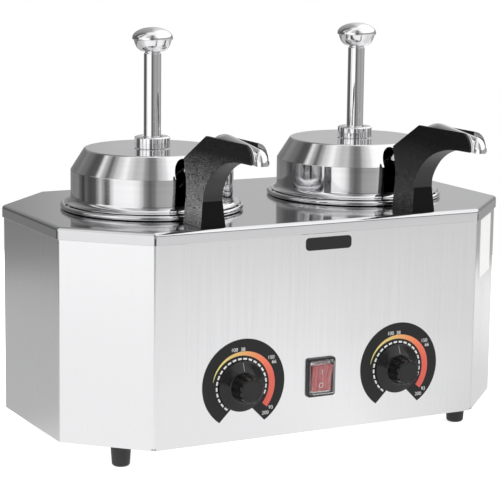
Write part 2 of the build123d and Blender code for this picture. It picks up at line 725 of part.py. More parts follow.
def build_spout(side, x):
    """Moulded housing with an open channel, the metal trough in it and the heater under the trough."""
    foot_back = -80.0
    foot_front = -110.9
    waist_z = DECK_TOP + 34
    channel_end = TROUGH_END + LIP_GAP
    high = DECK_TOP + 100
    floor = under_tube(TROUGH_INSIDE + TROUGH_SHEET, foot_back + 40, channel_end)
    with BuildPart() as housing:
        # side outline: leaning foot, hollow front curve, level arm with a rounded nose
        with BuildSketch(Plane.YZ.offset(x)):
            with BuildLine():
                Polyline((foot_back, DECK_TOP), (foot_front, DECK_TOP), (-109.3, DECK_TOP + 20))
                Spline(
                    (-109.3, DECK_TOP + 20),
                    (-113.7, DECK_TOP + 33.1),
                    (-126.4, DECK_TOP + 45.9),
                    (-146.5, DECK_TOP + 54.4),
                    (-168.0, DECK_TOP + 57.2),
                    tangents=((0, 1), (-1, 0.03)),
                )
                Line((-168.0, DECK_TOP + 57.2), (-184.5, DECK_TOP + 57.5))
                ThreePointArc(
                    (-184.5, DECK_TOP + 57.5),
                    (-180.0, DECK_TOP + 65.9),
                    (-172.3, DECK_TOP + 72.0),
                )
                Polyline(
                    (-172.3, DECK_TOP + 72.0),
                    (-113.0, DECK_TOP + 71.3),
                    (-74.9, DECK_TOP + 50.0),
                    (foot_back, DECK_TOP + 29.0),
                    (foot_back, DECK_TOP),
                )
            make_face()
        extrude(amount=HOUSING_BASE, both=True)
        # front outline: the foot flares out to the deck
        with BuildSketch(pump_plane(x)):
            with BuildLine():
                Polyline(
                    (-HOUSING_BASE / 2, DECK_TOP),
                    (HOUSING_BASE / 2, DECK_TOP),
                    (HOUSING_WAIST / 2 + 0.5, DECK_TOP + 20),
                    (HOUSING_WAIST / 2, waist_z),
                    (HOUSING_WAIST / 2, high),
                    (-HOUSING_WAIST / 2, high),
                    (-HOUSING_WAIST / 2, waist_z),
                    (-HOUSING_WAIST / 2 - 0.5, DECK_TOP + 20),
                    close=True,
                )
            make_face()
        extrude(amount=CASING_DEPTH, mode=Mode.INTERSECT)
        # plan outline: the arm narrows to its nose
        with BuildSketch(Plane((x, 0, DECK_TOP))):
            with BuildLine():
                Polyline(
                    (-HOUSING_BASE, -60),
                    (-HOUSING_BASE, -112),
                    (-HOUSING_WAIST / 2 - 0.2, -112),
                    (-HOUSING_NOSE / 2, -172),
                    (-HOUSING_NOSE / 2, -190),
                    (HOUSING_NOSE / 2, -190),
                    (HOUSING_NOSE / 2, -172),
                    (HOUSING_WAIST / 2 + 0.2, -112),
                    (HOUSING_BASE, -112),
                    (HOUSING_BASE, -60),
                    close=True,
                )
            make_face()
        extrude(amount=high - DECK_TOP, mode=Mode.INTERSECT)
        # open channel for the trough
        with BuildSketch(Plane.YZ.offset(x)):
            with BuildLine():
                FilletPolyline(*floor, radius=CREST_BEND - TROUGH_OUTSIDE)
                Polyline(
                    floor[-1],
                    (channel_end, DECK_TOP + 50),
                    (-200, DECK_TOP + 50),
                    (-200, high),
                    (foot_back + 40, high),
                    floor[0],
                )
            make_face()
        extrude(amount=TROUGH_OUTSIDE, both=True, mode=Mode.SUBTRACT)
        # hollow foot under the trough, open to the deck
        with BuildSketch(Plane.YZ.offset(x)):
            with BuildLine():
                Polyline(
                    (foot_back - 2.2, DECK_TOP),
                    (foot_front + 2.2, DECK_TOP),
                    (-107.0, DECK_TOP + 20),
                    (-112.0, DECK_TOP + 35),
                    (-112.0, DECK_TOP + 58),
                    (foot_back - 2.2, DECK_TOP + 43),
                    close=True,
                )
            make_face()
        extrude(amount=TROUGH_OUTSIDE, both=True, mode=Mode.SUBTRACT)
    save(housing, f"spout_housing_{side}")

    inside = under_tube(TROUGH_INSIDE, foot_back + 40, TROUGH_END - 20)
    underside = under_tube(TROUGH_OUTSIDE, TROUGH_BACK, TROUGH_END)
    trough_top = under_tube(0, TROUGH_BACK, CHEEK_BACK)
    with BuildPart() as trough:
        with BuildSketch(Plane.YZ.offset(x)):
            with BuildLine():
                FilletPolyline(*trough_top, radius=CREST_BEND)
                Polyline(
                    trough_top[-1],
                    (CHEEK_BACK, DECK_TOP + 72),
                    (-178.0, DECK_TOP + 71.6),
                )
                Spline(
                    (-178.0, DECK_TOP + 71.6),
                    (-184.0, DECK_TOP + 68.8),
                    (-187.4, DECK_TOP + 64.8),
                    (-188.9, DECK_TOP + 58.0),
                    tangents=((-1, -0.1), (0, -1)),
                )
                Polyline((-188.9, DECK_TOP + 58.0), (TROUGH_END, DECK_TOP + 58.0), underside[-1])
                FilletPolyline(*underside, radius=CREST_BEND - TROUGH_OUTSIDE)
                Line(underside[0], trough_top[0])
            make_face()
        extrude(amount=TROUGH_OUTSIDE, both=True)
        with BuildSketch(Plane.YZ.offset(x)):
            with BuildLine():
                FilletPolyline(*inside, radius=CREST_BEND - TROUGH_INSIDE)
                Polyline(inside[-1], (TROUGH_END - 20, high), (foot_back + 40, high), inside[0])
            make_face()
        extrude(amount=TROUGH_INSIDE, both=True, mode=Mode.SUBTRACT)
        with BuildSketch(Plane.YZ.offset(x)):
            with Locations((TROUGH_END - 10, DECK_TOP + 60)):
                Rectangle(20, 40)
        extrude(amount=TROUGH_INSIDE, both=True, mode=Mode.SUBTRACT)
    save(trough, f"spout_trough_{side}")

    slope = -RISE_ANGLE
    touch = under_tube(TROUGH_OUTSIDE, -98.0, TROUGH_END)[0]
    with BuildPart() as spout_heater:
        with BuildSketch(Plane.YZ.offset(x)):
            with Locations(Location(touch, slope)):
                Rectangle(
                    SPOUT_HEATER_LENGTH,
                    SPOUT_HEATER_THICKNESS,
                    align=(Align.CENTER, Align.MAX),
                )
        extrude(amount=TROUGH_INSIDE, both=True)
    save(spout_heater, f"spout_heater_{side}")


# =========================== front controls ===========================
def build_dial(side, x):
    """Dial plate, knob with its shaft, thermostat behind the panel and its sensor at the well."""
    with BuildPart() as dial_plate:
        with BuildSketch(front_plane(x, CONTROL_Z)):
            with Locations((DIAL_PLATE_SHIFT_X, DIAL_PLATE_SHIFT_Z)):
                Circle(DIAL_PLATE_RADIUS)
            with BuildLine(mode=Mode.PRIVATE) as notch:
                Polyline(
                    (0, -DIAL_NOTCH_DROP),
                    (-2 * DIAL_PLATE_RADIUS, -DIAL_NOTCH_DROP - 2 * DIAL_PLATE_RADIUS),
                    (2 * DIAL_PLATE_RADIUS, -DIAL_NOTCH_DROP - 2 * DIAL_PLATE_RADIUS),
                    close=True,
                )
            make_face(notch.edges(), mode=Mode.SUBTRACT)
            Circle(SHAFT_HOLE_RADIUS, mode=Mode.SUBTRACT)
        extrude(amount=DIAL_PLATE_THICKNESS)
    save(dial_plate, f"dial_plate_{side}")

    skirt_back = DIAL_FACE_Y - DIAL_GAP
    knob_front = skirt_back - SKIRT_THICKNESS - GRIP_HEIGHT
    shaft_front = knob_front + 3
    with BuildPart() as knob:
        with BuildSketch(front_plane(x, CONTROL_Z, y=skirt_back)):
            Circle(SKIRT_RADIUS)
        extrude(amount=SKIRT_THICKNESS)
        chamfer(knob.edges().group_by(Axis.Y)[0], SKIRT_THICKNESS / 3)
        with BuildSketch(front_plane(x, CONTROL_Z, y=skirt_back - SKIRT_THICKNESS)):
            Circle(GRIP_RADIUS)
            with PolarLocations(GRIP_RADIUS + 0.6, GRIP_FLUTES, start_angle=180 / GRIP_FLUTES):
                Circle(FLUTE_RADIUS, mode=Mode.SUBTRACT)
        extrude(amount=GRIP_HEIGHT, taper=GRIP_TAPER)
        with BuildSketch(front_plane(x, CONTROL_Z, y=skirt_back)):
            Circle(SHAFT_RADIUS + FIT_GAP)
        extrude(amount=skirt_back - shaft_front, mode=Mode.SUBTRACT)
    save(knob, f"thermostat_knob_{side}")

    body_back = FRONT_Y + SHEET + THERMOSTAT_DEPTH
    shaft_back = body_back - THERMOSTAT_DEPTH / 3
    with BuildPart() as shaft:
        with BuildSketch(front_plane(x, CONTROL_Z, y=shaft_back)):
            Circle(SHAFT_RADIUS)
        extrude(amount=shaft_back - shaft_front)
    save(shaft, f"thermostat_shaft_{side}")

    with BuildPart() as thermostat:
        with BuildSketch(front_plane(x, CONTROL_Z, y=body_back)):
            RectangleRounded(THERMOSTAT_WIDTH, THERMOSTAT_HEIGHT, 3)
        extrude(amount=THERMOSTAT_DEPTH)
        with BuildSketch(front_plane(x, CONTROL_Z, y=FRONT_Y + SHEET)):
            Circle(SHAFT_HOLE_RADIUS - LIP_GAP)
        extrude(amount=SHEET)
        with BuildSketch(front_plane(x, CONTROL_Z, y=shaft_back + SEAT_GAP)):
            Circle(SHAFT_RADIUS + FIT_GAP)
        extrude(amount=THERMOSTAT_DEPTH, mode=Mode.SUBTRACT)
    save(thermostat, f"thermostat_{side}")

    # the sensor stands against the well, and its capillary runs straight from the thermostat's back
    well_x = math.copysign(WELL_SPACING / 2, x)
    reach = WELL_RADIUS + WELL_SHEET + SENSOR_RADIUS + SEAT_GAP
    sensor_y = -math.sqrt(reach**2 - (x - well_x) ** 2)
    with BuildPart() as sensor:
        with BuildSketch(Plane.XY.offset(CONTROL_Z - SENSOR_DROP)):
            with Locations((x, sensor_y)):
                Circle(SENSOR_RADIUS)
        extrude(amount=SENSOR_LENGTH)
        with BuildSketch(front_plane(x, CONTROL_Z + THERMOSTAT_HEIGHT / 4, y=sensor_y)):
            Circle(CAPILLARY_RADIUS)
        extrude(amount=sensor_y - body_back)
    save(sensor, f"sensor_{side}")


for side, sign in SIDES:
    pump_x = sign * WELL_SPACING / 2
    dial_x = sign * DIAL_SPACING / 2
    build_well(side, pump_x)
    build_jar(side, pump_x)
    build_lid(side, pump_x)
    build_pump(side, pump_x)
    build_plunger(side, pump_x)
    build_discharge_tube(side, pump_x)
    build_spout(side, pump_x)
    build_dial(side, dial_x)

# ---- rocker switch ----
BEZEL_FACE = FRONT_Y - BEZEL_THICKNESS
with BuildPart() as switch_housing:
    with BuildSketch(front_plane(0, CONTROL_Z)):
        RectangleRounded(SWITCH_WIDTH, SWITCH_HEIGHT, 2.2)
    extrude(amount=BEZEL_THICKNESS)
    chamfer(switch_housing.edges().group_by(Axis.Y)[0], 0.8)
    with BuildSketch(front_plane(0, CONTROL_Z)):
        Rectangle(SWITCH_BODY_WIDTH, SWITCH_BODY_HEIGHT)
    extrude(amount=-SWITCH_BODY_DEPTH)
    with BuildSketch(front_plane(0, CONTROL_Z, y=BEZEL_FACE)):
        Rectangle(WINDOW_WIDTH, WINDOW_HEIGHT)
    extrude(amount=-SWITCH_BODY_DEPTH + 2 * SWITCH_WALL, mode=Mode.SUBTRACT)
save(switch_housing, "switch_housing")

ROCKER_HALF = WINDOW_HEIGHT / 2 - 2
tilt = math.radians(ROCKER_TILT)
rocker_plane = Plane(
    origin=(0, BEZEL_FACE + ROCKER_PIVOT_DEPTH, CONTROL_Z),
    x_dir=(0, math.cos(tilt), math.sin(tilt)),
    z_dir=(1, 0, 0),
)
with BuildPart() as switch_rocker:
    with BuildSketch(rocker_plane):
        with BuildLine():
            Polyline(
                (-ROCKER_PIVOT_DEPTH - 0.4, ROCKER_HALF),
                (-ROCKER_PIVOT_DEPTH + 0.8, 0),
                (-ROCKER_PIVOT_DEPTH - 0.4, -ROCKER_HALF),
                (-2, -ROCKER_HALF),
                (5, -6),
                (5, 6),
                (-2, ROCKER_HALF),
                close=True,
            )
        make_face()
    extrude(amount=WINDOW_WIDTH / 2 - ROCKER_GAP, both=True)
save(switch_rocker, "switch_rocker")

with BuildPart() as switch_cover:
    with BuildSketch(front_plane(0, CONTROL_Z, y=BEZEL_FACE)):
        RectangleRounded(COVER_WIDTH, COVER_TALL, COVER_CORNER)
    extrude(amount=COVER_STAND, taper=COVER_DRAFT)
    with BuildSketch(front_plane(0, CONTROL_Z, y=BEZEL_FACE)):
        RectangleRounded(COVER_WIDTH - 2 * COVER_WALL, COVER_TALL - 2 * COVER_WALL, COVER_CORNER - COVER_WALL / 2)
    extrude(amount=COVER_STAND - COVER_WALL, taper=COVER_DRAFT, mode=Mode.SUBTRACT)
save(switch_cover, "switch_cover")

# ---- plain plates on the outside ----
with BuildPart() as front_label:
    with BuildSketch(front_plane(PLATE_X, DECK_TOP - PLATE_DROP)):
        RectangleRounded(PLATE_WIDTH, PLATE_TALL, 3)
    extrude(amount=PLATE_THICKNESS)
save(front_label, "front_label")

chamfer_middle = (CASING_WIDTH / 2 - CORNER_CUT / 2, FRONT_Y + CORNER_CUT / 2, DECK_TOP - SIDE_LABEL_DROP)
with BuildPart() as side_label:
    with BuildSketch(Plane(origin=chamfer_middle, x_dir=(1, 1, 0), z_dir=(1, -1, 0))):
        RectangleRounded(SIDE_LABEL_WIDTH, SIDE_LABEL_TALL, 1.5)
    extrude(amount=SIDE_LABEL_THICKNESS)
save(side_label, "side_label")

# ---- terminal block on the base, cable gland in the back wall ----
with BuildPart() as terminal_block:
    with BuildSketch(Plane.XY.offset(BASE_TOP)):
        with Locations((0, BACK_Y - 45)):
            Rectangle(TERMINAL_LENGTH, TERMINAL_WIDTH)
    extrude(amount=TERMINAL_HEIGHT / 2)
    with BuildSketch(Plane.XY.offset(BASE_TOP + TERMINAL_HEIGHT / 2)):
        with Locations((0, BACK_Y - 45)):
            Rectangle(TERMINAL_LENGTH, TERMINAL_WIDTH / 2)
    extrude(amount=TERMINAL_HEIGHT / 2)
    with BuildSketch(Plane.XY.offset(BASE_TOP + TERMINAL_HEIGHT)):
        with Locations((0, BACK_Y - 45)):
            with GridLocations(TERMINAL_LENGTH / 4, 1, 3, 1):
                Circle(2.2)
    extrude(amount=-TERMINAL_HEIGHT / 2, mode=Mode.SUBTRACT)
save(terminal_block, "terminal_block")

gland_axis = (GLAND_X, CASING_BOTTOM + GLAND_HEIGHT)
back_face = Plane(origin=(0, BACK_Y, 0), x_dir=(-1, 0, 0), z_dir=(0, 1, 0))
with BuildPart() as cord_gland:
    with BuildSketch(back_face):
        with Locations((-gland_axis[0], gland_axis[1])):
            RegularPolygon(GLAND_HEX / 2, 6, major_radius=False)
    extrude(amount=GLAND_HEX_HEIGHT)
    with BuildSketch(back_face.offset(GLAND_HEX_HEIGHT)):
        with Locations((-gland_axis[0], gland_axis[1])):
            Circle(GLAND_HEX / 2 - 0.6)
    extrude(amount=GLAND_DOME)
    chamfer(cord_gland.edges().group_by(Axis.Y)[-1], 2.4)
    with BuildSketch(back_face):
        with Locations((-gland_axis[0], gland_axis[1])):
            Circle(GLAND_THREAD)
    extrude(amount=-SHEET - GLAND_HEX_HEIGHT)
    with BuildSketch(back_face.offset(-SHEET)):
        with Locations((-gland_axis[0], gland_axis[1])):
            RegularPolygon(GLAND_HEX / 2, 6, major_radius=False)
    extrude(amount=-GLAND_HEX_HEIGHT)
    with BuildSketch(back_face.offset(GLAND_HEX_HEIGHT + GLAND_DOME)):
        with Locations((-gland_axis[0], gland_axis[1])):
            Circle(GLAND_BORE)
    extrude(amount=-2 * GLAND_HEX_HEIGHT - SHEET - GLAND_DOME, mode=Mode.SUBTRACT)
save(cord_gland, "cord_gland")
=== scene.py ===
import json
import math

import bmesh
import bpy
from mathutils import Matrix, Vector


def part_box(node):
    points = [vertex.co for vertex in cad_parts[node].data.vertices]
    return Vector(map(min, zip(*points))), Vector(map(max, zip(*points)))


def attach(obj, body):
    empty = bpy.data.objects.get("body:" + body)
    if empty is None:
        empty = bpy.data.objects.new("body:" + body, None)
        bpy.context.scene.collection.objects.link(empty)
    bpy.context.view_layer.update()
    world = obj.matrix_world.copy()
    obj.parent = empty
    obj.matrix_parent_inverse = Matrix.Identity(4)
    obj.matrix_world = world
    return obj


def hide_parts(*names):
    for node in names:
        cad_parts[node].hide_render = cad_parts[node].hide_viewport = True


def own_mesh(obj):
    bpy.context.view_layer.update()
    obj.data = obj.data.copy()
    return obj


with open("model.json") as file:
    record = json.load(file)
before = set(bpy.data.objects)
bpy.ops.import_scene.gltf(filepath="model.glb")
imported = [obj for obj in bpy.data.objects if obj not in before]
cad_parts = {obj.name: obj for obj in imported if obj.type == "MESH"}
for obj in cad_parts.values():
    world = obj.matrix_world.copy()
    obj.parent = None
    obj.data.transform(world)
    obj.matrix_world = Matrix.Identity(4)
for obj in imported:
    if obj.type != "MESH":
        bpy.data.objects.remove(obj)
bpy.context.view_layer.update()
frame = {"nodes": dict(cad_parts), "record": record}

# Shapes below are drawn in millimetres, in the same axes as the construction, and scaled once in new_piece.
MM = 0.001
SIDES = ("left", "right")
ROUND_STEPS = 160
LYING_FLAT = Matrix.Identity(4)
MATERIALS = {}
EFFECTS = {}


def box_mm(node):
    """Lowest and highest corner of a constructed piece, in millimetres."""
    low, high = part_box(node)
    return low / MM, high / MM


def middle_mm(node):
    """Middle of a constructed piece, in millimetres."""
    low, high = box_mm(node)
    return (low + high) / 2


# ==== sizes taken from the construction ====
casing_low, casing_high = box_mm("casing")
deck_low, deck_high = box_mm("deck")
CASING_WIDTH = casing_high.x - casing_low.x
CASING_DEPTH = casing_high.y - casing_low.y
CASING_BOTTOM = casing_low.z
DECK_TOP = deck_high.z
LIP_BOTTOM = deck_low.z
DECK_GROW = (deck_high.x - deck_low.x - CASING_WIDTH) / 2
FRONT_Y = casing_low.y
CORNER_CUT = 55.5
CORNER_FOLDS = [
    (sx * (CASING_WIDTH / 2 - CORNER_CUT), sy * CASING_DEPTH / 2) for sx in (-1, 1) for sy in (-1, 1)
]
CASING_SHEET = 1.0
DECK_SHEET = 1.2
DECK_ROUND = 3.0
HEM = 0.3
WELL_OPENING = 70.6
FOOT_RADIUS = 8.5

JAR_RADIUS = 67.6
JAR_SHEET = 0.8
LID_RADIUS = 66.0
LID_SHEET = 1.0
PUMP_HOLE = 12.05

PRINT_DEPTH = 0.03
PLATE_THICK = 0.6

# the discharge tube, seen from the side: it rises from the lid, turns over a crest and falls to its outlet
TUBE_RADIUS, TUBE_BORE = 5.0, 4.2
CREST_Y, CREST_Z = -126.0, DECK_TOP + 70.2
OUTLET_Y, OUTLET_Z = -188.0, DECK_TOP + 57.5
RISER_Y = -24.0
CREST_BEND = 30.0
RISE, FALL = math.tan(math.radians(28.7)), math.tan(math.radians(5.9))
ARM_HALF_WIDTH = 10.75
TROUGH_HALF_WIDTH = 6.0
TROUGH_SHEET = 0.6


# ==== drawing helpers ====
def link_new(name, data):
    """Adds an object to the scene."""
    thing = bpy.data.objects.new(name, data)
    bpy.context.scene.collection.objects.link(thing)
    return thing


def new_piece(name, build, body, stands_for=None, slot=None, finish=None, crease=32, smooth=True):
    """Turns a finished bmesh, in millimetres, into a shown piece that moves with its body.

    Its finish is the material of that name, or else of its slot's name.
    """
    bmesh.ops.remove_doubles(build, verts=build.verts, dist=1e-4)
    bmesh.ops.recalc_face_normals(build, faces=build.faces)
    bmesh.ops.scale(build, vec=(MM, MM, MM), verts=build.verts)
    mesh = bpy.data.meshes.new(name)
    build.to_mesh(mesh)
    build.free()
    for face in mesh.polygons:
        face.use_smooth = smooth
    if smooth:
        mesh.set_sharp_from_angle(angle=math.radians(crease))
    piece = link_new(name, mesh)
    if finish or slot:
        mesh.materials.append(MATERIALS[finish or slot])
    if body:
        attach(piece, body)
    if stands_for:
        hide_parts(stands_for)
    return piece


def arc(centre_u, centre_v, radius, start, end, steps=8):
    """Points of a circular arc in a drawing plane, angles in degrees."""
    turns = [math.radians(start + (end - start) * i / steps) for i in range(steps + 1)]
    return [(centre_u + radius * math.cos(a), centre_v + radius * math.sin(a)) for a in turns]


def grooved_circle(radius, height, cuts):
    """Points of a full circle whose radius is cut back at each step by the given depth."""
    points = []
    for i, cut in enumerate(cuts):
        a = 2 * math.pi * i / len(cuts)
        points.append(((radius - cut) * math.cos(a), (radius - cut) * math.sin(a), height))
    return points


def circle(radius, height, steps):
    return grooved_circle(radius, height, [0.0] * steps)


def rounded(points, radii, closed=False, steps=6):
    """The outline through the points, with its corners turned into arcs of the given radii."""
    count = len(points)
    outline = []
    for i, point in enumerate(points):
        radius = radii[i] if isinstance(radii, (list, tuple)) else radii
        ends = not closed and i in (0, count - 1)
        if radius <= 0 or ends:
            outline.append(tuple(point))
            continue
        here = Vector(point)
        back = (Vector(points[i - 1]) - here).normalized()
        ahead = (Vector(points[(i + 1) % count]) - here).normalized()
        half = back.angle(ahead) / 2
        reach = radius / math.tan(half)
        centre = here + (back + ahead).normalized() * (radius / math.sin(half))
        first, last = here + back * reach - centre, here + ahead * reach - centre
        sweep = first.angle_signed(last)
        outline += [tuple(centre + Matrix.Rotation(-sweep * k / steps, 2) @ first) for k in range(steps + 1)]
    return outline


def curve_points(points, steps=10):
    """A smooth curve through the given points (Catmull-Rom), for moulded outlines."""
    line = [Vector(p) for p in points]
    line = [line[0] * 2 - line[1]] + line + [line[-1] * 2 - line[-2]]
    smooth = []
    for a, b, c, d in zip(line, line[1:], line[2:], line[3:]):
        for k in range(steps):
            t = k / steps
            bend = (c - a) * t + (2 * a - 5 * b + 4 * c - d) * t**2 + (3 * b - a - 3 * c + d) * t**3
            smooth.append(tuple(0.5 * (2 * b + bend)))
    smooth.append(tuple(line[-2]))
    return smooth


def rectangle(width, height, u=0.0, v=0.0):
    """Corners of a rectangle centred on (u, v)."""
    return [(u + i * width / 2, v + j * height / 2) for i, j in ((-1, -1), (1, -1), (1, 1), (-1, 1))]


def rounded_box(width, height, radius, steps=5):
    return rounded(rectangle(width, height), radius, closed=True, steps=steps)


def octagon(grow):
    """Plan outline of the cabinet, grown outwards all round."""
    fold, sharpest = 3.0, 0.6
    half_w, half_d = CASING_WIDTH / 2 + grow, CASING_DEPTH / 2 + grow
    cut = CORNER_CUT + grow * (2 - math.sqrt(2))
    points = []
    for sx, sy in ((1, -1), (1, 1), (-1, 1), (-1, -1)):
        pair = [(sx * (half_w - cut), sy * half_d), (sx * half_w, sy * (half_d - cut))]
        points += pair if sx * sy < 0 else pair[::-1]
    return rounded(points, max(fold + grow, sharpest), closed=True, steps=5)


def facing_front(x, z, y=FRONT_Y):
    """Places a drawing on the front: u right, v up, and its thickness towards the user."""
    return Matrix(((1, 0, 0, x), (0, 0, -1, y), (0, 1, 0, z), (0, 0, 0, 1)))


def seen_from_side(x):
    """Places a side drawing: u is Y, v is Z, thickness along X, centred on x."""
    return Matrix(((0, 0, 1, x), (1, 0, 0, 0), (0, 1, 0, 0), (0, 0, 0, 1)))


def add_ring(build, points, place=LYING_FLAT):
    """Adds the corners of one ring, given as points of the placed drawing."""
    return [build.verts.new(place @ Vector(point)) for point in points]


def join_rings(build, rings, closed=False):
    """Adds walls between neighbouring rings of equal length, and from last to first if closed."""
    for lower, upper in zip(rings, rings[1:] + (rings[:1] if closed else [])):
        for i in range(len(lower)):
            j = (i + 1) % len(lower)
            corners = list(dict.fromkeys((lower[i], lower[j], upper[j], upper[i])))
            if len(corners) > 2:
                build.faces.new(corners)


def add_stack(build, outlines, place=LYING_FLAT):
    """Adds walls between closed outlines of equal length, given as (outline, height)."""
    rings = [add_ring(build, [(u, v, height) for u, v in outline], place) for outline, height in outlines]
    join_rings(build, rings)
    return rings


def add_turned(build, profile, x=0.0, y=0.0, closed=True, steps=ROUND_STEPS, place=None):
    """Adds a profile of (radius, height) points turned round the vertical line at (x, y)."""
    place = place or Matrix.Translation((x, y, 0))
    rings = []
    for radius, height in profile:
        if radius < 1e-5:
            rings.append(add_ring(build, [(0, 0, height)], place) * steps)
        else:
            rings.append(add_ring(build, circle(radius, height, steps), place))
    join_rings(build, rings, closed)
    return build


def turned(profile, **options):
    return add_turned(bmesh.new(), profile, **options)


def add_prism(build, outline, low, high, place=LYING_FLAT):
    """Adds a flat outline (u, v) stretched from low to high along its normal."""
    bottom, top = [add_ring(build, [(u, v, level) for u, v in outline], place) for level in (low, high)]
    build.faces.new(bottom[::-1])
    build.faces.new(top)
    join_rings(build, [bottom, top])
    return build


def prism(outline, low, high, place=LYING_FLAT):
    return add_prism(bmesh.new(), outline, low, high, place)


def add_pipe(build, path, radius):
    """Adds a round skin along a path (list of Vectors lying in one YZ plane)."""
    rings = []
    across, steps = Vector((1, 0, 0)), 40
    for i, here in enumerate(path):
        ahead = (path[min(i + 1, len(path) - 1)] - path[max(i - 1, 0)]).normalized()
        up = ahead.cross(across).normalized()
        rings.append(add_ring(build, [here + u * across + v * up for u, v, _ in circle(radius, 0.0, steps)]))
    join_rings(build, rings)
    return rings


def keep_flats(piece):
    """Shades broad flat faces as flat, so that only the rounded folds between them turn the light."""
    steady = piece.modifiers.new("flat_panels", "WEIGHTED_NORMAL")
    steady.weight = 100
    steady.keep_sharp = True


def bevel(piece, width, segments=3, angle=30):
    """Rounds the piece's sharp edges."""
    rounding = piece.modifiers.new("edge_rounding", "BEVEL")
    rounding.width = width * MM
    rounding.segments = segments
    rounding.limit_method = "ANGLE"
    rounding.angle_limit = math.radians(angle)
    rounding.harden_normals = True


def combine(piece, tools, operation="DIFFERENCE", crease=None):
    """Cuts the piece with each tool shape (a bmesh in millimetres) and keeps the result as its mesh."""
    for tool in tools:
        cutter = new_piece("cutter", tool, None)
        step = piece.modifiers.new("cut", "BOOLEAN")
        step.operation = operation
        step.solver = "EXACT"
        step.object = cutter
        bpy.context.view_layer.update()
        result = bpy.data.meshes.new_from_object(piece.evaluated_get(bpy.context.evaluated_depsgraph_get()))
        piece.modifiers.clear()
        old, spent = piece.data, cutter.data
        finish = old.materials[0]
        result.materials.clear()
        result.materials.append(finish)
        piece.data = result
        result.name = piece.name
        bpy.data.objects.remove(cutter)
        bpy.data.meshes.remove(old)
        bpy.data.meshes.remove(spent)
    if crease:
        piece.data.set_sharp_from_angle(angle=math.radians(crease))


# ==== shader helpers ====
def feed(node, **inputs):
    """Sets a node's inputs to values or other nodes' outputs, by number (in0) or name with _ for a space."""
    for key, value in inputs.items():
        socket = node.inputs[int(key[2:]) if key.startswith("in") else key.replace("_", " ")]
        if isinstance(value, bpy.types.NodeSocket):
            node.id_data.links.new(value, socket)
        else:
            socket.default_value = value
    return node


def put(kind, settings=None, tree=None, **inputs):
    """Adds a shader node with its settings and inputs, in the given tree or else in that of its inputs."""
    tree = tree or next(value.id_data for value in inputs.values() if isinstance(value, bpy.types.NodeSocket))
    node = tree.nodes.new(kind)
    for key, value in (settings or {}).items():
        setattr(node, key, value)
    return feed(node, **inputs)


def math_node(operation, first, second=0.0, clamp=False):
    settings = {"operation": operation, "use_clamp": clamp}
    return put("ShaderNodeMath", settings, in0=first, in1=second).outputs[0]


def times(first, second, clamp=False):
    return math_node("MULTIPLY", first, second, clamp)


def plus(first, second, clamp=False):
    return math_node("ADD", first, second, clamp)


def vector_node(operation, first, **second):
    return put("ShaderNodeVectorMath", {"operation": operation}, in0=first, **second).outputs


def mix_colours(factor, first, second):
    return put("ShaderNodeMix", {"data_type": "RGBA"}, in0=factor, in6=first, in7=second).outputs[2]


def mix_value(factor, first, second):
    return put("ShaderNodeMix", in0=factor, in2=first, in3=second).outputs[0]


def remap(value, from_low, from_high, to_low=0.0, to_high=1.0, curve="LINEAR"):
    """Stretches a range of the value to another range, and holds it there outside."""
    limits = {"in1": from_low, "in2": from_high, "in3": to_low, "in4": to_high}
    return put("ShaderNodeMapRange", {"interpolation_type": curve}, in0=value, **limits).outputs[0]


def noise(where, scale, detail=2.0, **more):
    return put("ShaderNodeTexNoise", Vector=where, Scale=scale, Detail=detail, **more).outputs[0]


def axes(vector):
    """The X, Y and Z of a vector."""
    return put("ShaderNodeSeparateXYZ", Vector=vector).outputs


def from_axes(x, y, z):
    return put("ShaderNodeCombineXYZ", X=x, Y=y, Z=z).outputs[0]


def surface_normal(near):
    """Normal of the surface, in the node tree of the nearby socket."""
    return put("ShaderNodeNewGeometry", tree=near.id_data).outputs["Normal"]


def grey(level):
    return (level, level, level, 1)


def effect(name, outputs, **inputs):
    """Starts a shared effect, a node group with a Vector and number inputs. Returns its two ends."""
    tree = bpy.data.node_groups.new(name, "ShaderNodeTree")
    EFFECTS[name] = tree
    tree.interface.new_socket("Vector", in_out="INPUT", socket_type="NodeSocketVector")
    for label, value in inputs.items():
        label = label.replace("_", " ")
        tree.interface.new_socket(label, in_out="INPUT", socket_type="NodeSocketFloat").default_value = value
    for label in outputs:
        tree.interface.new_socket(label, in_out="OUTPUT", socket_type="NodeSocketFloat")
    return tree.nodes.new("NodeGroupInput").outputs, tree.nodes.new("NodeGroupOutput")


def use(name, where, **inputs):
    """Places a shared effect in a material and returns its outputs."""
    return put("ShaderNodeGroup", {"node_tree": EFFECTS[name]}, Vector=where, **inputs).outputs


# ==== shared effects ====
def make_drawn_grain():
    """Long fine scratches left by brushing or rolling: standing when Upright is 1, lying when it is 0."""
    given, ends = effect("drawn_grain", ("Height", "Tone"), Across=900.0, Along=12.0, Upright=1.0)
    parts = axes(given["Vector"])
    flat_scale = mix_value(given["Upright"], given["Along"], given["Across"])
    tall_scale = mix_value(given["Upright"], given["Across"], given["Along"])
    scales = (flat_scale, given["Across"], tall_scale)
    stretched = from_axes(*[times(part, scale) for part, scale in zip(parts, scales)])
    fine = noise(stretched, 1.0, 3.0, Roughness=0.65)
    broad = noise(stretched, 0.13)
    feed(ends, Height=fine, Tone=plus(times(fine, 0.6), times(broad, 0.4)))


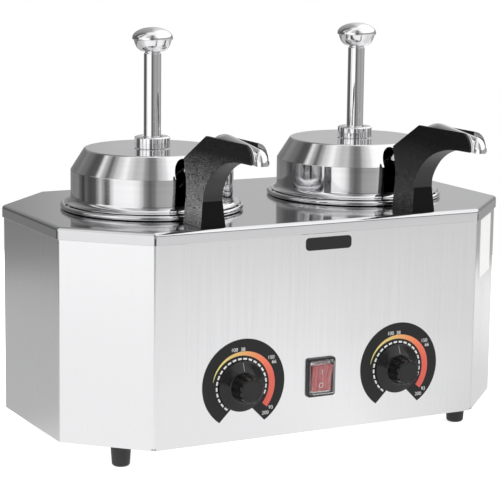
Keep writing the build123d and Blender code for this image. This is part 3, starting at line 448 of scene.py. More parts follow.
def make_spun_lines():
    """Fine rings left by a lathe round an upright axis, a given way along X."""
    given, ends = effect("spun_lines", ("Height", "Tone"), Lines_per_metre=2500.0, Axis=0.0)
    parts = axes(given["Vector"])
    east = math_node("SUBTRACT", parts["X"], given["Axis"])
    radius = vector_node("LENGTH", from_axes(east, parts["Y"], 0.0))["Value"]
    ring = times(radius, given["Lines per metre"])
    level = times(parts["Z"], given["Lines per metre"])
    angle = math_node("ARCTAN2", parts["Y"], east)
    where = from_axes(ring, level, times(angle, 0.9))
    feed(ends, Height=noise(where, 1.0, Roughness=0.6), Tone=noise(where, 0.08))


def make_handling_marks():
    """Soft smears and small wipe marks, from 0 (clean) to 1."""
    given, ends = effect("handling_marks", ("Mask",), Size=14.0, Spread=0.5)
    smear = noise(given["Vector"], given["Size"], 6.0, Roughness=0.6, Distortion=1.2)
    low = math_node("SUBTRACT", 0.75, times(given["Spread"], 0.4))
    feed(ends, Mask=remap(smear, low, 0.85, curve="SMOOTHSTEP"))


def make_worn_edges():
    """Mask of the piece's raised edges, broken up by noise."""
    given, ends = effect("worn_edges", ("Mask",), Width=0.0008, Amount=0.5)
    soft = put("ShaderNodeBevel", {"samples": 4}, Radius=given["Width"]).outputs[0]
    agree = vector_node("DOT_PRODUCT", soft, in1=surface_normal(soft))["Value"]
    chips = noise(given["Vector"], 350.0, 4.0)
    broken = times(remap(agree, 0.99, 0.85), remap(chips, 0.35, 0.65, 0.3))
    feed(ends, Mask=times(broken, given["Amount"], clamp=True))


def make_settled_dust():
    """A trace of dust on what faces up."""
    given, ends = effect("settled_dust", ("Mask",), Amount=0.15)
    facing_up = axes(surface_normal(given["Vector"]))["Z"]
    specks = noise(given["Vector"], 900.0, 3.0)
    patches = noise(given["Vector"], 25.0, 3.0)
    cover = times(remap(specks, 0.5, 0.75), remap(patches, 0.3, 0.7, 0.2))
    upward = times(remap(facing_up, 0.3, 1.0), cover)
    feed(ends, Mask=times(upward, given["Amount"], clamp=True))


def make_moulded_skin():
    """Orange-peel texture of a moulded plastic surface."""
    given, ends = effect("moulded_skin", ("Height", "Tone"), Grain_size=900.0)
    where, size = given["Vector"], given["Grain size"]
    cells = put("ShaderNodeTexVoronoi", {"feature": "F1"}, Vector=where, Scale=size).outputs["Distance"]
    peel = noise(where, size, 3.0)
    feed(ends, Height=plus(times(cells, 0.5), times(peel, 0.7)), Tone=peel)


def make_spark_texture():
    """Coarse eroded grain of a spark-finished mould: a mask of separate grains on a dark ground, which the
    arm's finish paints bright as glints.
    """
    given, ends = effect("spark_texture", ("Height", "Grains"), Grain_size=0.95)
    lumps = noise(given["Vector"], math_node("DIVIDE", 1000.0, given["Grain size"]), 0.0)
    patches = noise(given["Vector"], 110.0)
    grains = remap(lumps, 0.47, 0.60, curve="SMOOTHSTEP")
    feed(ends, Height=lumps, Grains=times(grains, remap(patches, 0.3, 0.7, 0.8)))


make_drawn_grain()
make_spun_lines()
make_handling_marks()
make_worn_edges()
make_settled_dust()
make_moulded_skin()
make_spark_texture()


# ==== finishes ====
def start_material(name, **surface):
    """A new material with one Principled surface. Returns its surface node and the object position."""
    material = bpy.data.materials.new(name)
    MATERIALS[name] = material
    material.use_nodes = True
    tree = material.node_tree
    tree.nodes.clear()
    shader = put("ShaderNodeBsdfPrincipled", tree=tree, **surface)
    put("ShaderNodeOutputMaterial", Surface=shader.outputs[0])
    return shader, put("ShaderNodeTexCoord", tree=tree).outputs["Object"]


def toned(tone, colour, low, high):
    """The colour, made darker or lighter by a tone that changes over the surface."""
    return vector_node("SCALE", colour, Scale=remap(tone, 0.3, 0.7, low, high))[0]


def dress(shader, tint, rough, height, strength, distance):
    """Gives a surface its colour and roughness, and raises it by the height."""
    raised = put("ShaderNodeBump", Strength=strength, Distance=distance, Height=height).outputs[0]
    feed(shader, Base_Color=tint, Roughness=rough, Normal=raised)


def metal(name, colour, roughness, grain, wipe, swing, raised, tone, marks, edge=None, **lines):
    """Bare metal: its grain in colour, roughness and height, with wipe marks and, if given, bright edges."""
    shader, place = start_material(name, Metallic=1.0)
    grain = use(grain, place, **lines)
    marked = use("handling_marks", place, Size=wipe[0], Spread=wipe[1])["Mask"]
    tint = toned(grain["Tone"], colour, 1.0 - tone, 1.0)
    if edge:
        worn = use("worn_edges", place, Width=edge[0], Amount=edge[1])["Mask"]
        tint = mix_colours(worn, tint, [min(1.0, c * 1.1) for c in colour] + [1.0])
    rough = remap(grain["Height"], 0.3, 0.7, roughness * swing[0], roughness * swing[1])
    rough = plus(rough, times(marked, marks))
    dress(shader, tint, rough, grain["Height"], *raised)


def brushed_metal(name, colour, roughness, across=900.0, along=12.0, upright=1.0,
                  depth=0.06, tone=0.12, marks=0.10):
    """Brushed or rolled sheet."""
    metal(name, colour, roughness, "drawn_grain", (11.0, 0.5), (0.85, 1.15), (depth, 0.0002), tone, marks,
          edge=(0.0007, 0.5), Across=across, Along=along, Upright=upright)


def spun_metal(name, colour, roughness, axis_x, depth, tone, marks):
    """Sheet spun on a lathe round an upright axis."""
    metal(name, colour, roughness, "spun_lines", (16.0, 0.4), (0.8, 1.2), (depth, 0.00015), tone, marks,
          edge=(0.0006, 0.4), Lines_per_metre=2200.0, Axis=axis_x * MM)


def bright_plating(name, colour):
    """Mirror-bright chrome with faint finger marks."""
    metal(name, colour, 0.05, "drawn_grain", (40.0, 0.6), (0.8, 1.3), (0.02, 0.0001), 0.03, 0.10,
          Across=1500.0, Along=30.0, Upright=1.0)


def moulded_plastic(name, colour, roughness, grain_size=900.0, depth=0.3, gloss=0.5, wear=0.35):
    """Moulded plastic or rubber with its surface texture, worn edges and a trace of dust."""
    shader, place = start_material(name, Specular_IOR_Level=gloss)
    skin = use("moulded_skin", place, Grain_size=grain_size)
    worn = use("worn_edges", place, Width=0.0006, Amount=wear)["Mask"]
    dusty = use("settled_dust", place, Amount=0.05)["Mask"]
    wear_and_painted_glints = [min(1.0, c * 1.8 + 0.02) for c in colour] + [1.0]
    tint = mix_colours(worn, toned(skin["Tone"], colour, 0.75, 1.25), wear_and_painted_glints)
    rough = remap(skin["Height"], 0.3, 0.9, roughness * 0.85, roughness * 1.15)
    rough = plus(rough, times(dusty, 0.3), clamp=True)
    dust = (0.45, 0.44, 0.42, 1.0)
    dress(shader, mix_colours(dusty, tint, dust), rough, skin["Height"], depth, 0.0002)


def sparked_moulding(name, grain_size, foot, rubbing):
    """Black moulding, smooth but for its spark-textured cheeks, whose grains are painted pale grey as glints,
    strongest just above the foot: painted light.
    """
    shader, place = start_material(name)
    grain = use("spark_texture", place, Grain_size=grain_size)
    worn = use("worn_edges", place, Width=0.0008, Amount=0.5)["Mask"]
    facing = axes(surface_normal(place))
    height = axes(place)["Z"]
    cheek = remap(math_node("ABSOLUTE", facing["X"]), 0.55, 0.8)
    # painted light: the glints are painted stronger low on the cheeks, where light from the deck and lids
    # falls on them
    painted_light_low_down = remap(height, foot + 0.060, foot + 0.014, 0.03 * rubbing, rubbing)
    wear_and_painted_glints = times(painted_light_low_down, remap(height, foot, foot + 0.012, 0.5))
    shown = times(times(cheek, wear_and_painted_glints), grain["Grains"])
    # the front face is matt below the crease where the arm's foot starts
    below_crease = remap(height, foot + 0.0206, foot + 0.0200)
    matt = times(below_crease, remap(facing["Y"], -0.85, -0.95))
    # painted glints: the grains turn pale grey where light would catch them
    tint = mix_colours(shown, (0.004, 0.004, 0.0042, 1), (0.64, 0.64, 0.645, 1))
    tint = mix_colours(times(worn, 0.35), tint, grey(0.30))
    tint = mix_colours(matt, tint, grey(0.003))
    rough = mix_value(matt, remap(cheek, 0.0, 1.0, 0.36, 0.48), 0.8)
    gloss = mix_value(matt, remap(cheek, 0.0, 1.0, 0.6, 0.12), 0.2)
    feed(shader, Specular_IOR_Level=gloss)
    dress(shader, tint, rough, times(cheek, grain["Height"]), 0.5, 0.0003)


def ink_skin(place, colour):
    """The fine skin of ink or film, and its colour with a slightly uneven lay."""
    skin = use("moulded_skin", place, Grain_size=1800.0)
    return skin, toned(skin["Tone"], colour, 0.92, 1.04)


def printed_film(name, colour, roughness=0.5, gloss=0.4):
    """Ink or film: nearly flat, with faint handling marks."""
    shader, place = start_material(name, Specular_IOR_Level=gloss)
    skin, tint = ink_skin(place, colour)
    marked = use("handling_marks", place, Size=60.0, Spread=0.4)["Mask"]
    rough = remap(skin["Height"], 0.3, 0.9, roughness * 0.9, roughness * 1.1)
    rough = plus(rough, times(marked, 0.12))
    dress(shader, tint, rough, skin["Height"], 0.08, 0.0001)


def heat_band_ink(name, centre):
    """The dial's heat band: yellow at its thin end, through orange, to red."""
    shader, place = start_material(name)
    parts = axes(place)
    east = math_node("SUBTRACT", parts["X"], centre.x * MM)
    north = math_node("SUBTRACT", parts["Z"], centre.z * MM)
    # 0 at the thin end, lower left, and 1 at the thick end, lower right
    angle = math_node("ARCTAN2", north, east)
    along = remap(angle, math.radians(165), math.radians(-40))
    ramp = put("ShaderNodeValToRGB", Fac=along)
    stops = ramp.color_ramp.elements
    stops[0].color = (0.72, 0.70, 0.24, 1)
    stops[1].color = (0.68, 0.11, 0.08, 1)
    stops.new(0.28).color = (0.74, 0.52, 0.18, 1)
    stops.new(0.45).color = (0.80, 0.33, 0.13, 1)
    stops.new(0.58).color = (0.83, 0.20, 0.10, 1)
    stops.new(0.75).color = (0.72, 0.12, 0.085, 1)
    skin, tint = ink_skin(place, ramp.outputs[0])
    feed(shader, Base_Color=tint, Roughness=remap(skin["Height"], 0.3, 0.9, 0.4, 0.5))


def lit_rocker(name, colour):
    """Translucent red moulding with upright ribs of light inside it."""
    shader, place = start_material(name, Coat_Weight=0.4, Coat_Roughness=0.08)
    parts = axes(place)
    ribs = put("ShaderNodeTexWave", {"bands_direction": "X"}, Vector=place, Scale=110.0, Distortion=1.5,
               Detail=2.0, Detail_Scale=6.0).outputs[1]
    stretched = from_axes(times(parts["X"], 700.0), 0.0, times(parts["Z"], 90.0))
    flecks = noise(stretched, 1.0, 3.0)
    light = times(remap(ribs, 0.3, 0.9, 0.2), remap(flecks, 0.4, 0.7))
    pale = [c * 0.45 + 0.5 for c in colour] + [1.0]
    tint = mix_colours(times(light, 0.55), colour + (1.0,), pale)
    dress(shader, tint, remap(flecks, 0.3, 0.7, 0.22, 0.35), ribs, 0.15, 0.0002)


def clear_moulding(name):
    """Clear soft cover: glass-like, faintly frosted by handling."""
    shader, place = start_material(name, Transmission_Weight=1.0, IOR=1.35)
    marked = use("handling_marks", place, Size=90.0, Spread=0.7)["Mask"]
    tint = mix_colours(marked, grey(0.97), grey(0.90))
    dress(shader, tint, remap(marked, 0.0, 1.0, 0.04, 0.14), marked, 0.05, 0.0002)


brushed_metal("cabinet_steel", (0.80, 0.80, 0.81), 0.24, along=9.0, depth=0.0045, tone=0.010, marks=0.05)
brushed_metal("deck_steel", (0.66, 0.66, 0.67), 0.10, along=10.0, upright=0.0, depth=0.012, tone=0.05,
              marks=0.04)
brushed_metal("plated_steel", (0.60, 0.60, 0.58), 0.35, across=1500.0, along=300.0)
brushed_metal("vessel_steel", (0.68, 0.68, 0.69), 0.22, across=1200.0, along=40.0, upright=0.0)
brushed_metal("pump_steel", (0.68, 0.68, 0.69), 0.25, across=1500.0, along=60.0)
brushed_metal("heater_metal", (0.60, 0.60, 0.60), 0.5, across=400.0, along=400.0)
brushed_metal("sensor_copper", (0.72, 0.42, 0.26), 0.3, along=200.0)
bright_plating("bright_chrome", (0.86, 0.86, 0.87))
moulded_plastic("white_acetal", (0.80, 0.80, 0.77), 0.4, depth=0.05)
moulded_plastic("seal_rubber", (0.04, 0.04, 0.04), 0.7)
moulded_plastic("knob_black", (0.008, 0.008, 0.009), 0.12, grain_size=300.0, depth=0.02, gloss=0.38,
                wear=0.15)
moulded_plastic("phenolic", (0.07, 0.05, 0.045), 0.45)
moulded_plastic("switch_black", (0.012, 0.012, 0.013), 0.28, depth=0.12, wear=0.3)
moulded_plastic("foot_rubber", (0.018, 0.018, 0.018), 0.55, grain_size=1500.0)
moulded_plastic("gland_black", (0.02, 0.02, 0.02), 0.4)
lit_rocker("rocker_red", (0.52, 0.07, 0.075))
clear_moulding("cover_clear")
printed_film("dial_black", (0.014, 0.014, 0.015), gloss=0.3)
printed_film("dial_print", (0.82, 0.82, 0.80))
printed_film("engraved_line", (0.30, 0.30, 0.30))
printed_film("label_black", (0.012, 0.012, 0.012), 0.35)
printed_film("label_white", (0.93, 0.93, 0.92))
# painted light: the left arm's cheeks get stronger painted glints than the right arm's, whose cheeks lie in
# shade, so the two arm materials are lit and shaded copies
for side, rubbing in (("left", 1.0), ("right", 0.20)):
    axis_x = middle_mm(f"pump_cylinder_{side}").x
    sparked_moulding(f"arm_plastic_{side}", 0.55, DECK_TOP * MM, rubbing)
    spun_metal(f"spun_steel_{side}", (0.77, 0.77, 0.78), 0.065, axis_x, depth=0.03, tone=0.07, marks=0.04)
    heat_band_ink(f"heat_band_{side}", middle_mm(f"thermostat_shaft_{side}"))

# every constructed node gets its slot's finish, for the pieces that are shown as they are
slot_of = {row["node"]: row["material_slot"] for row in frame["record"]["subparts"]}
for node, part in frame["nodes"].items():
    finish = slot_of[node]
    if finish in ("spun_steel", "arm_plastic"):
        finish += "_" + node.rsplit("_", 1)[1]
    part.data.materials.clear()
    part.data.materials.append(MATERIALS[finish])


# ==== cabinet ====
def build_casing():
    """Folded wrapper with its top flange, open below, slit at the bottom and top of each corner fold."""
    top = DECK_TOP - DECK_SHEET
    fold = 2.0
    flange = 12.0
    sheet = CASING_SHEET
    hem = CASING_BOTTOM + HEM
    outlines = [(octagon(-sheet), hem), (octagon(HEM - sheet), CASING_BOTTOM), (octagon(-HEM), CASING_BOTTOM),
                (octagon(0), hem), (octagon(0), top - fold)]
    outlines += [(octagon(-fold + u), top - fold + v) for u, v in arc(0, 0, fold, 15, 90, 5)]
    outlines += [(octagon(-flange), top), (octagon(-flange), top - sheet), (octagon(-sheet), top - sheet),
                 (octagon(-sheet), hem)]
    walls = bmesh.new()
    add_stack(walls, outlines)
    piece = new_piece("cabinet_wrap", walls, "cabinet", "casing", "cabinet_steel")
    slits = []
    for x, y in CORNER_FOLDS:
        slits.append(prism(rectangle(3.0, 6, x, y), CASING_BOTTOM - 1, CASING_BOTTOM + 1.8))
        slits.append(prism(rectangle(1.3, 6, x, y), LIP_BOTTOM - 0.2, top - 3))
    combine(piece, slits)
    keep_flats(piece)


def build_deck():
    """Top tray with a rolled edge, a round opening over each well and a slit at each corner of its lip."""
    edge, inside = DECK_GROW, DECK_GROW - DECK_SHEET
    lip = octagon(edge - HEM), LIP_BOTTOM
    round_base = DECK_TOP - DECK_ROUND
    outer = [lip, (octagon(edge), LIP_BOTTOM + HEM), (octagon(edge), round_base)]
    outer += [(octagon(edge - DECK_ROUND + u), round_base + v) for u, v in arc(0, 0, DECK_ROUND, 12, 90, 6)]
    inner = [lip, (octagon(inside), LIP_BOTTOM + HEM), (octagon(inside), DECK_TOP - DECK_SHEET)]
    deck = bmesh.new()
    for outlines in (outer, inner):
        deck.faces.new(add_stack(deck, outlines)[-1])
    piece = new_piece("deck_sheet", deck, "cabinet", "deck", "deck_steel")
    cutters = []
    for side in SIDES:
        x = middle_mm(f"well_{side}").x
        opening = [(x + u, v) for u, v, _ in circle(WELL_OPENING, 0.0, ROUND_STEPS)]
        cutters.append(prism(opening, LIP_BOTTOM, DECK_TOP + 5))
    for x, y in CORNER_FOLDS:
        cutters.append(prism(rectangle(1.1, 8, x, y), LIP_BOTTOM - 1, round_base + 1.2))
    combine(piece, cutters, crease=32)
    keep_flats(piece)


def build_feet():
    low, high = box_mm("feet")
    build = bmesh.new()
    profile = [(0, 0.0), (4.4, 0.0), (4.6, 0.3)] + arc(4.9, 2.6, 2.3, -80, -5, 8)
    profile += [(8.3, high.z - 1.6), (FOOT_RADIUS, high.z - 0.9), (FOOT_RADIUS, high.z), (0, high.z)]
    for x in (low.x + FOOT_RADIUS, high.x - FOOT_RADIUS):
        for y in (low.y + FOOT_RADIUS, high.y - FOOT_RADIUS):
            add_turned(build, profile, x=x, y=y, closed=False, steps=64)
    new_piece("rubber_feet", build, "cabinet", "feet", "foot_rubber")


# ==== jars, lids and pumps ====
def build_jar(side, x):
    """Deep drawn vessel whose rim is rolled outwards into a bead."""
    low, high = box_mm(f"jar_{side}")
    bead = 2.0
    mid = high.z - bead
    outside, inside = JAR_RADIUS, JAR_RADIUS - JAR_SHEET
    floor = low.z + JAR_SHEET
    corner, lip, shelf = 9.0, 1.4, 0.4
    profile = [(0, low.z)] + arc(outside - corner, low.z + corner, corner, -90, 0, 10)
    profile += [(outside, mid - 1.3), (outside + 1.0, mid - shelf), (72.0, mid - shelf), (72.0, mid - 1.6)]
    profile += arc(72.4, mid, bead, -90, 90, 14)
    profile += [(72.0, mid + 1.6), (71.9, mid + shelf), (inside + lip, mid + shelf)]
    profile += arc(inside + lip, mid + shelf - lip, lip, 90, 180, 5)
    corner -= JAR_SHEET
    profile += arc(inside - corner, floor + corner, corner, 0, -90, 10) + [(0, floor)]
    vessel = new_piece(f"jar_{side}_vessel", turned(profile, x=x, closed=False), f"jar_{side}", f"jar_{side}",
                       "vessel_steel", f"spun_steel_{side}")
    keep_flats(vessel)


def build_lid(side, x):
    """Spun lid: flat top, sloping shoulder, straight wall, flared foot and arched notch in front."""
    low, high = box_mm(f"lid_{side}")
    top, bottom = high.z, low.z
    flange = box_mm(f"jar_{side}")[1].z + 0.3
    shoulder = flange + 26.5
    flare = 4.6
    wall, inside = LID_RADIUS, LID_RADIUS - LID_SHEET
    profile = rounded([(PUMP_HOLE, top), (55.0, top), (wall, shoulder), (wall, flange + 5.6)],
                      [0, 2.2, 0.7, 0], steps=7)
    profile += arc(wall + flare, flange + 5.6, flare, 180, 258, 9) + [(70.3, flange + 0.95)]
    profile += arc(70.75, flange + 0.5, 0.45, 90, -90, 6) + [(wall + 0.2, flange), (wall, flange - 0.2)]
    profile += [(wall, bottom + 0.3), (wall - 0.3, bottom), (inside + 0.3, bottom), (inside, bottom + 0.3)]
    profile += rounded([(inside, bottom + 1), (inside, shoulder - 0.4), (54.4, top - LID_SHEET),
                        (PUMP_HOLE, top - LID_SHEET)], [0, 1.0, 1.4, 0])
    piece = new_piece(f"lid_{side}_shell", turned(profile, x=x, steps=192), f"lid_{side}", f"lid_{side}",
                      "spun_steel", f"spun_steel_{side}")
    half_notch, notch_rise = 9.7, 14.6
    sill = flange + 5.5
    notch = [(-half_notch, sill), (half_notch, sill)]
    notch += [(u, shoulder + 1 + v * notch_rise / half_notch) for u, v in arc(0, 0, half_notch, 0, 180, 24)]
    combine(piece, [prism(notch, 35, 75, facing_front(x, 0, y=0))], crease=28)
    keep_flats(piece)


def build_collar(side, x):
    """Knurled nut: straight grooves round its side, plain top with a small chamfer."""
    low, high = box_mm(f"collar_nut_{side}")
    teeth, steps, radius, groove = 32, 6, 14.5, 0.6
    around = teeth * steps
    place = Matrix.Translation((x, 0, 0))
    build = bmesh.new()
    rings = []
    base, top = low.z, high.z
    for z, shrink in ((base, 0.7), (base + 0.7, 0.0), (top - 1.0, 0.0), (top - 0.35, 0.7), (top, 1.3)):
        depth = groove if shrink < 0.6 else groove * 0.25
        cuts = [0.0 if i % steps else depth for i in range(around)]
        rings.append(add_ring(build, grooved_circle(radius - shrink, z, cuts), place))
    seat = top - 1.4
    for bore, z in ((8.4, top), (8.0, top - 0.4), (8.0, seat), (PUMP_HOLE, seat), (PUMP_HOLE, base)):
        rings.append(add_ring(build, circle(bore, z, around), place))
    join_rings(build, rings, closed=True)
    new_piece(f"collar_{side}_knurled", build, f"lid_{side}", f"collar_nut_{side}", "bright_chrome",
              crease=25)


def build_plunger(side, x):
    """Polished rod with its stop ring, and the pressed knob that caps it."""
    low, high = box_mm(f"plunger_knob_{side}")
    base, top = [corner.z for corner in box_mm(f"plunger_rod_{side}")]
    foot = low.z + 2.6
    thread, radius, stop = 5.0, 7.0, 9.5
    stop_low, stop_high = 228.2, 232.2
    body = f"plunger_{side}"
    rod = rounded(
        [(0, base), (thread, base), (thread, base + 13), (radius, base + 13), (radius, stop_low),
         (stop, stop_low), (stop, stop_high), (radius, stop_high), (radius, foot - 2.0), (6.2, foot - 1.4),
         (6.2, foot - 0.5), (thread, foot - 0.5), (thread, top), (0, top)],
        [0, 0.3, 0, 0.3, 0, 0.3, 0.3, 0, 0.35, 0.2, 0.2, 0, 0.3, 0], steps=4,
    )
    bar = turned(rod, x=x, closed=False, steps=96)
    keep_flats(new_piece(f"rod_{side}_bar", bar, body, f"plunger_rod_{side}", "bright_chrome"))
    equator = foot + (high.z - foot) * 0.55
    crown = high.z - equator
    profile = [(0, foot + 9), (5.05, foot + 9), (5.05, foot), (8.6, foot)]
    bowl = [(9.9, foot + 0.35), (12.2, foot + 2.2), (13.9, foot + 4.9), (15.2, equator - 1.7)]
    profile += curve_points(bowl, 8) + [(15.3, equator - 1.2)]
    profile += arc(15.9, equator - 0.7, 0.5, -90, 0, 4)
    profile += [(16.4 * u, equator + crown * v) for u, v in arc(0, 0, 1.0, 0, 90, 18)]
    cap = turned(profile, x=x, closed=False, steps=128)
    new_piece(f"knob_{side}_cap", cap, body, f"plunger_knob_{side}", "bright_chrome", crease=50)


def build_return_spring(side, x):
    """Flat-wire spring, drawn as a coil of one fixed length."""
    low, high = box_mm(f"return_spring_{side}")
    radius, wire_width, wire_height, turns, steps = 10.6, 2.2, 1.4, 4, 48
    length = high.z - low.z
    build = bmesh.new()
    rings = []
    for i in range(turns * steps + 1):
        a = 2 * math.pi * i / steps
        z = low.z + wire_height / 2 + (length - wire_height) * i / (turns * steps)
        wire = rectangle(wire_width, wire_height, radius, z)
        rings.append(add_ring(build, [(x + r * math.cos(a), r * math.sin(a), height) for r, height in wire]))
    join_rings(build, rings)
    build.faces.new(rings[0])
    build.faces.new(rings[-1])
    node = f"return_spring_{side}"
    coil = new_piece(f"{node}_coil", build, f"lid_{side}", node, "pump_steel")
    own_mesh(coil)


# ==== discharge tube and spout ====
def tube_height(y):
    """Height of the tube's straight stretches at y, before their bends are rounded."""
    return CREST_Z + (CREST_Y - y) * (RISE if y > CREST_Y else -FALL)


def offset_line(drop, back, front):
    """The line `drop` below the tube's axis from back to front, with its rounded crest, as (y, z)."""
    rise_drop, fall_drop = drop / math.cos(math.atan(RISE)), drop / math.cos(math.atan(FALL))
    crest = CREST_Y + (rise_drop - fall_drop) / (RISE + FALL)
    crest_z = CREST_Z + (CREST_Y - crest) * RISE - rise_drop
    ends = [(back, tube_height(back) - rise_drop), (front, tube_height(front) - fall_drop)]
    return rounded([ends[0], (crest, crest_z), ends[1]], [0, CREST_BEND - drop, 0], steps=12)


def build_tube(side, x):
    """Bent tube from inside the lid to its outlet, open at both ends."""
    low = box_mm(f"discharge_tube_{side}")[0]
    bends = [(y, tube_height(y)) for y in (RISER_Y, CREST_Y, OUTLET_Y)]
    corners = [(RISER_Y, low.z)] + bends + [(OUTLET_Y, OUTLET_Z)]
    path = [Vector((x, y, z)) for y, z in rounded(corners, [0, 14.0, CREST_BEND, 6.4, 0], steps=16)]
    build = bmesh.new()
    outer = add_pipe(build, path, TUBE_RADIUS)
    inner = add_pipe(build, path, TUBE_BORE)
    for end in (0, -1):
        join_rings(build, [outer[end], inner[end]])
    new_piece(f"tube_{side}_bent", build, f"lid_{side}", f"discharge_tube_{side}", "bright_chrome")


def build_arm(side, x):
    """Moulded spout housing: its side, front and plan outlines intersected, with the trough's channel."""
    zd = DECK_TOP
    half = ARM_HALF_WIDTH
    front = [(-109.3, 20), (-110.3, 27.0), (-113.7, 33.1), (-119.2, 39.9), (-126.4, 45.9), (-136.0, 51.0),
             (-146.5, 54.4), (-157.0, 56.4), (-168.0, 57.2)]
    outline = [(-80.0, zd), (-110.9, zd)] + curve_points([(y, zd + rise) for y, rise in front], 6)
    outline += [(-184.5, zd + 57.5)] + arc(-171.6, zd + 59.0, 13.0, 186, 94, 8)[1:]
    outline += [(-113.0, zd + 71.3), (-74.9, zd + 50.0), (-80.0, zd + 29.0)]
    arm = new_piece(f"spout_{side}_housing", prism(outline, -half, half, seen_from_side(x)), "cabinet",
                    f"spout_housing_{side}", "arm_plastic", f"arm_plastic_{side}")
    # right halves of the front view, as (across, height), and of the plan, as (across, Y)
    front_view = [(half, zd - 1), (half, zd), (8.7, zd + 20), (8.2, zd + 34), (8.2, zd + 90)]
    plan = [(6.8, -190), (6.8, -172), (8.35, -112), (12, -112), (12, -60)]
    front_view, plan = [
        [(x + u, v) for u, v in right] + [(x - u, v) for u, v in right[::-1]] for right in (front_view, plan)
    ]
    tools = [prism(front_view, 40, 220, facing_front(0, 0, y=0)), prism(plan, zd - 5, zd + 90)]
    combine(arm, tools, "INTERSECT")
    back, end = -40, -182.1
    half = TROUGH_HALF_WIDTH
    channel = offset_line(half, back, end)
    channel += [(end, zd + 50), (-200, zd + 50), (-200, zd + 100), (back, zd + 100)]
    combine(arm, [prism(channel, -half, half, seen_from_side(x))], crease=20)
    bevel(arm, 0.7, angle=25)


def build_trough(side, x):
    """Two polished cheeks joined by a floor that follows the tube."""
    zd = DECK_TOP
    back, front = -80.5, -182.3
    outside, inside = TROUGH_HALF_WIDTH, TROUGH_HALF_WIDTH - TROUGH_SHEET
    top = offset_line(0.0, back, -171.5)
    nose = curve_points([(-178.0, zd + 71.8), (-183.6, zd + 69.6), (-187.0, zd + 65.2), (-188.6, zd + 61.0),
                         (-188.9, zd + 58.0)], 6)
    under = offset_line(outside, back, front)
    cheek = top + [(-171.5, zd + 72.0)] + nose + [(front, zd + 58.0)] + under[::-1]
    build = bmesh.new()
    for low, high in ((-outside, -inside), (inside, outside)):
        add_prism(build, cheek, low, high, seen_from_side(x))
    add_prism(build, offset_line(inside, back, front) + under[::-1], -inside, inside, seen_from_side(x))
    trough = new_piece(f"spout_{side}_trough", build, "cabinet", f"spout_trough_{side}", "pump_steel",
                       "bright_chrome", crease=25)
    bevel(trough, 0.12, segments=2, angle=40)


# ==== front controls ====
def build_dial(side):
    """Round plate with a right-angled notch under the shaft, its dashes, heat band and numbers."""
    shaft = middle_mm(f"thermostat_shaft_{side}")
    place = facing_front(shaft.x, shaft.z)
    notch_drop = 9.0
    rim = [p for p in arc(2.2, 1.3, 36.0, -75, 255, 330) if p[1] > 0.05 - notch_drop - abs(p[0])]
    plate = new_piece(f"dial_{side}_plate", prism([(0, -notch_drop)] + rim, 0, PLATE_THICK, place), "cabinet",
                      f"dial_plate_{side}", "dial_black")
    bevel(plate, 0.2, segments=2)

    def show_print(name, build, finish):
        new_piece(f"dial_{side}_{name}", build, "cabinet", None, "dial_black", finish, smooth=False)

    # white dashes in a ring, from the lower left round to the lower right
    dashes = bmesh.new()
    count, half, ink = 21, 4.2, PLATE_THICK + PRINT_DEPTH
    for i in range(count):
        middle = 232 - 250 * i / (count - 1)
        start, end = middle - half, middle + half
        outline = arc(0, 0, 22.4, start, end, 4) + arc(0, 0, 20.9, end, start, 4)
        add_prism(dashes, outline, PLATE_THICK, ink, place)
    show_print("dashes", dashes, "dial_print")

    # heat band, thin and yellow at the left, thick and red at the right
    inside, outside = [], []
    steps = 60
    for i in range(steps + 1):
        t = i / steps
        a = math.radians(168 - 208 * t)
        near = 25.2 - min(1.0, 2.2 * t)
        far = near + 0.2 + 5.1 * min(1.0, t * 1.45) ** 0.9
        inside.append((near * math.cos(a), near * math.sin(a)))
        outside.append((far * math.cos(a), far * math.sin(a)))
    show_print("heat_band", prism(inside + outside[::-1], PLATE_THICK, ink, place), f"heat_band_{side}")

    # plain temperatures, in two scales
    for label, text, across, up in (("low", "100  38", -3.2, 29.1), ("middle", "150", 25.9, 20.4),
                                    ("middle_b", "66", 28.6, 16.6), ("high", "93", 26.2, -20.0),
                                    ("high_b", "200", 21.4, -23.9)):
        letters = bpy.data.curves.new(f"dial_{side}_{label}", "FONT")
        letters.body = text
        letters.size = 4.1 * MM
        letters.align_x = "CENTER"
        letters.align_y = "CENTER"
        letters.extrude = 0.01 * MM
        letters.materials.append(MATERIALS["dial_print"])
        mark = link_new(f"dial_{side}_number_{label}", letters)
        mark.location = Vector((shaft.x + across, FRONT_Y - PLATE_THICK - 0.02, shaft.z + up)) * MM
        mark.rotation_euler = (math.pi / 2, 0, 0)
        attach(mark, "cabinet")


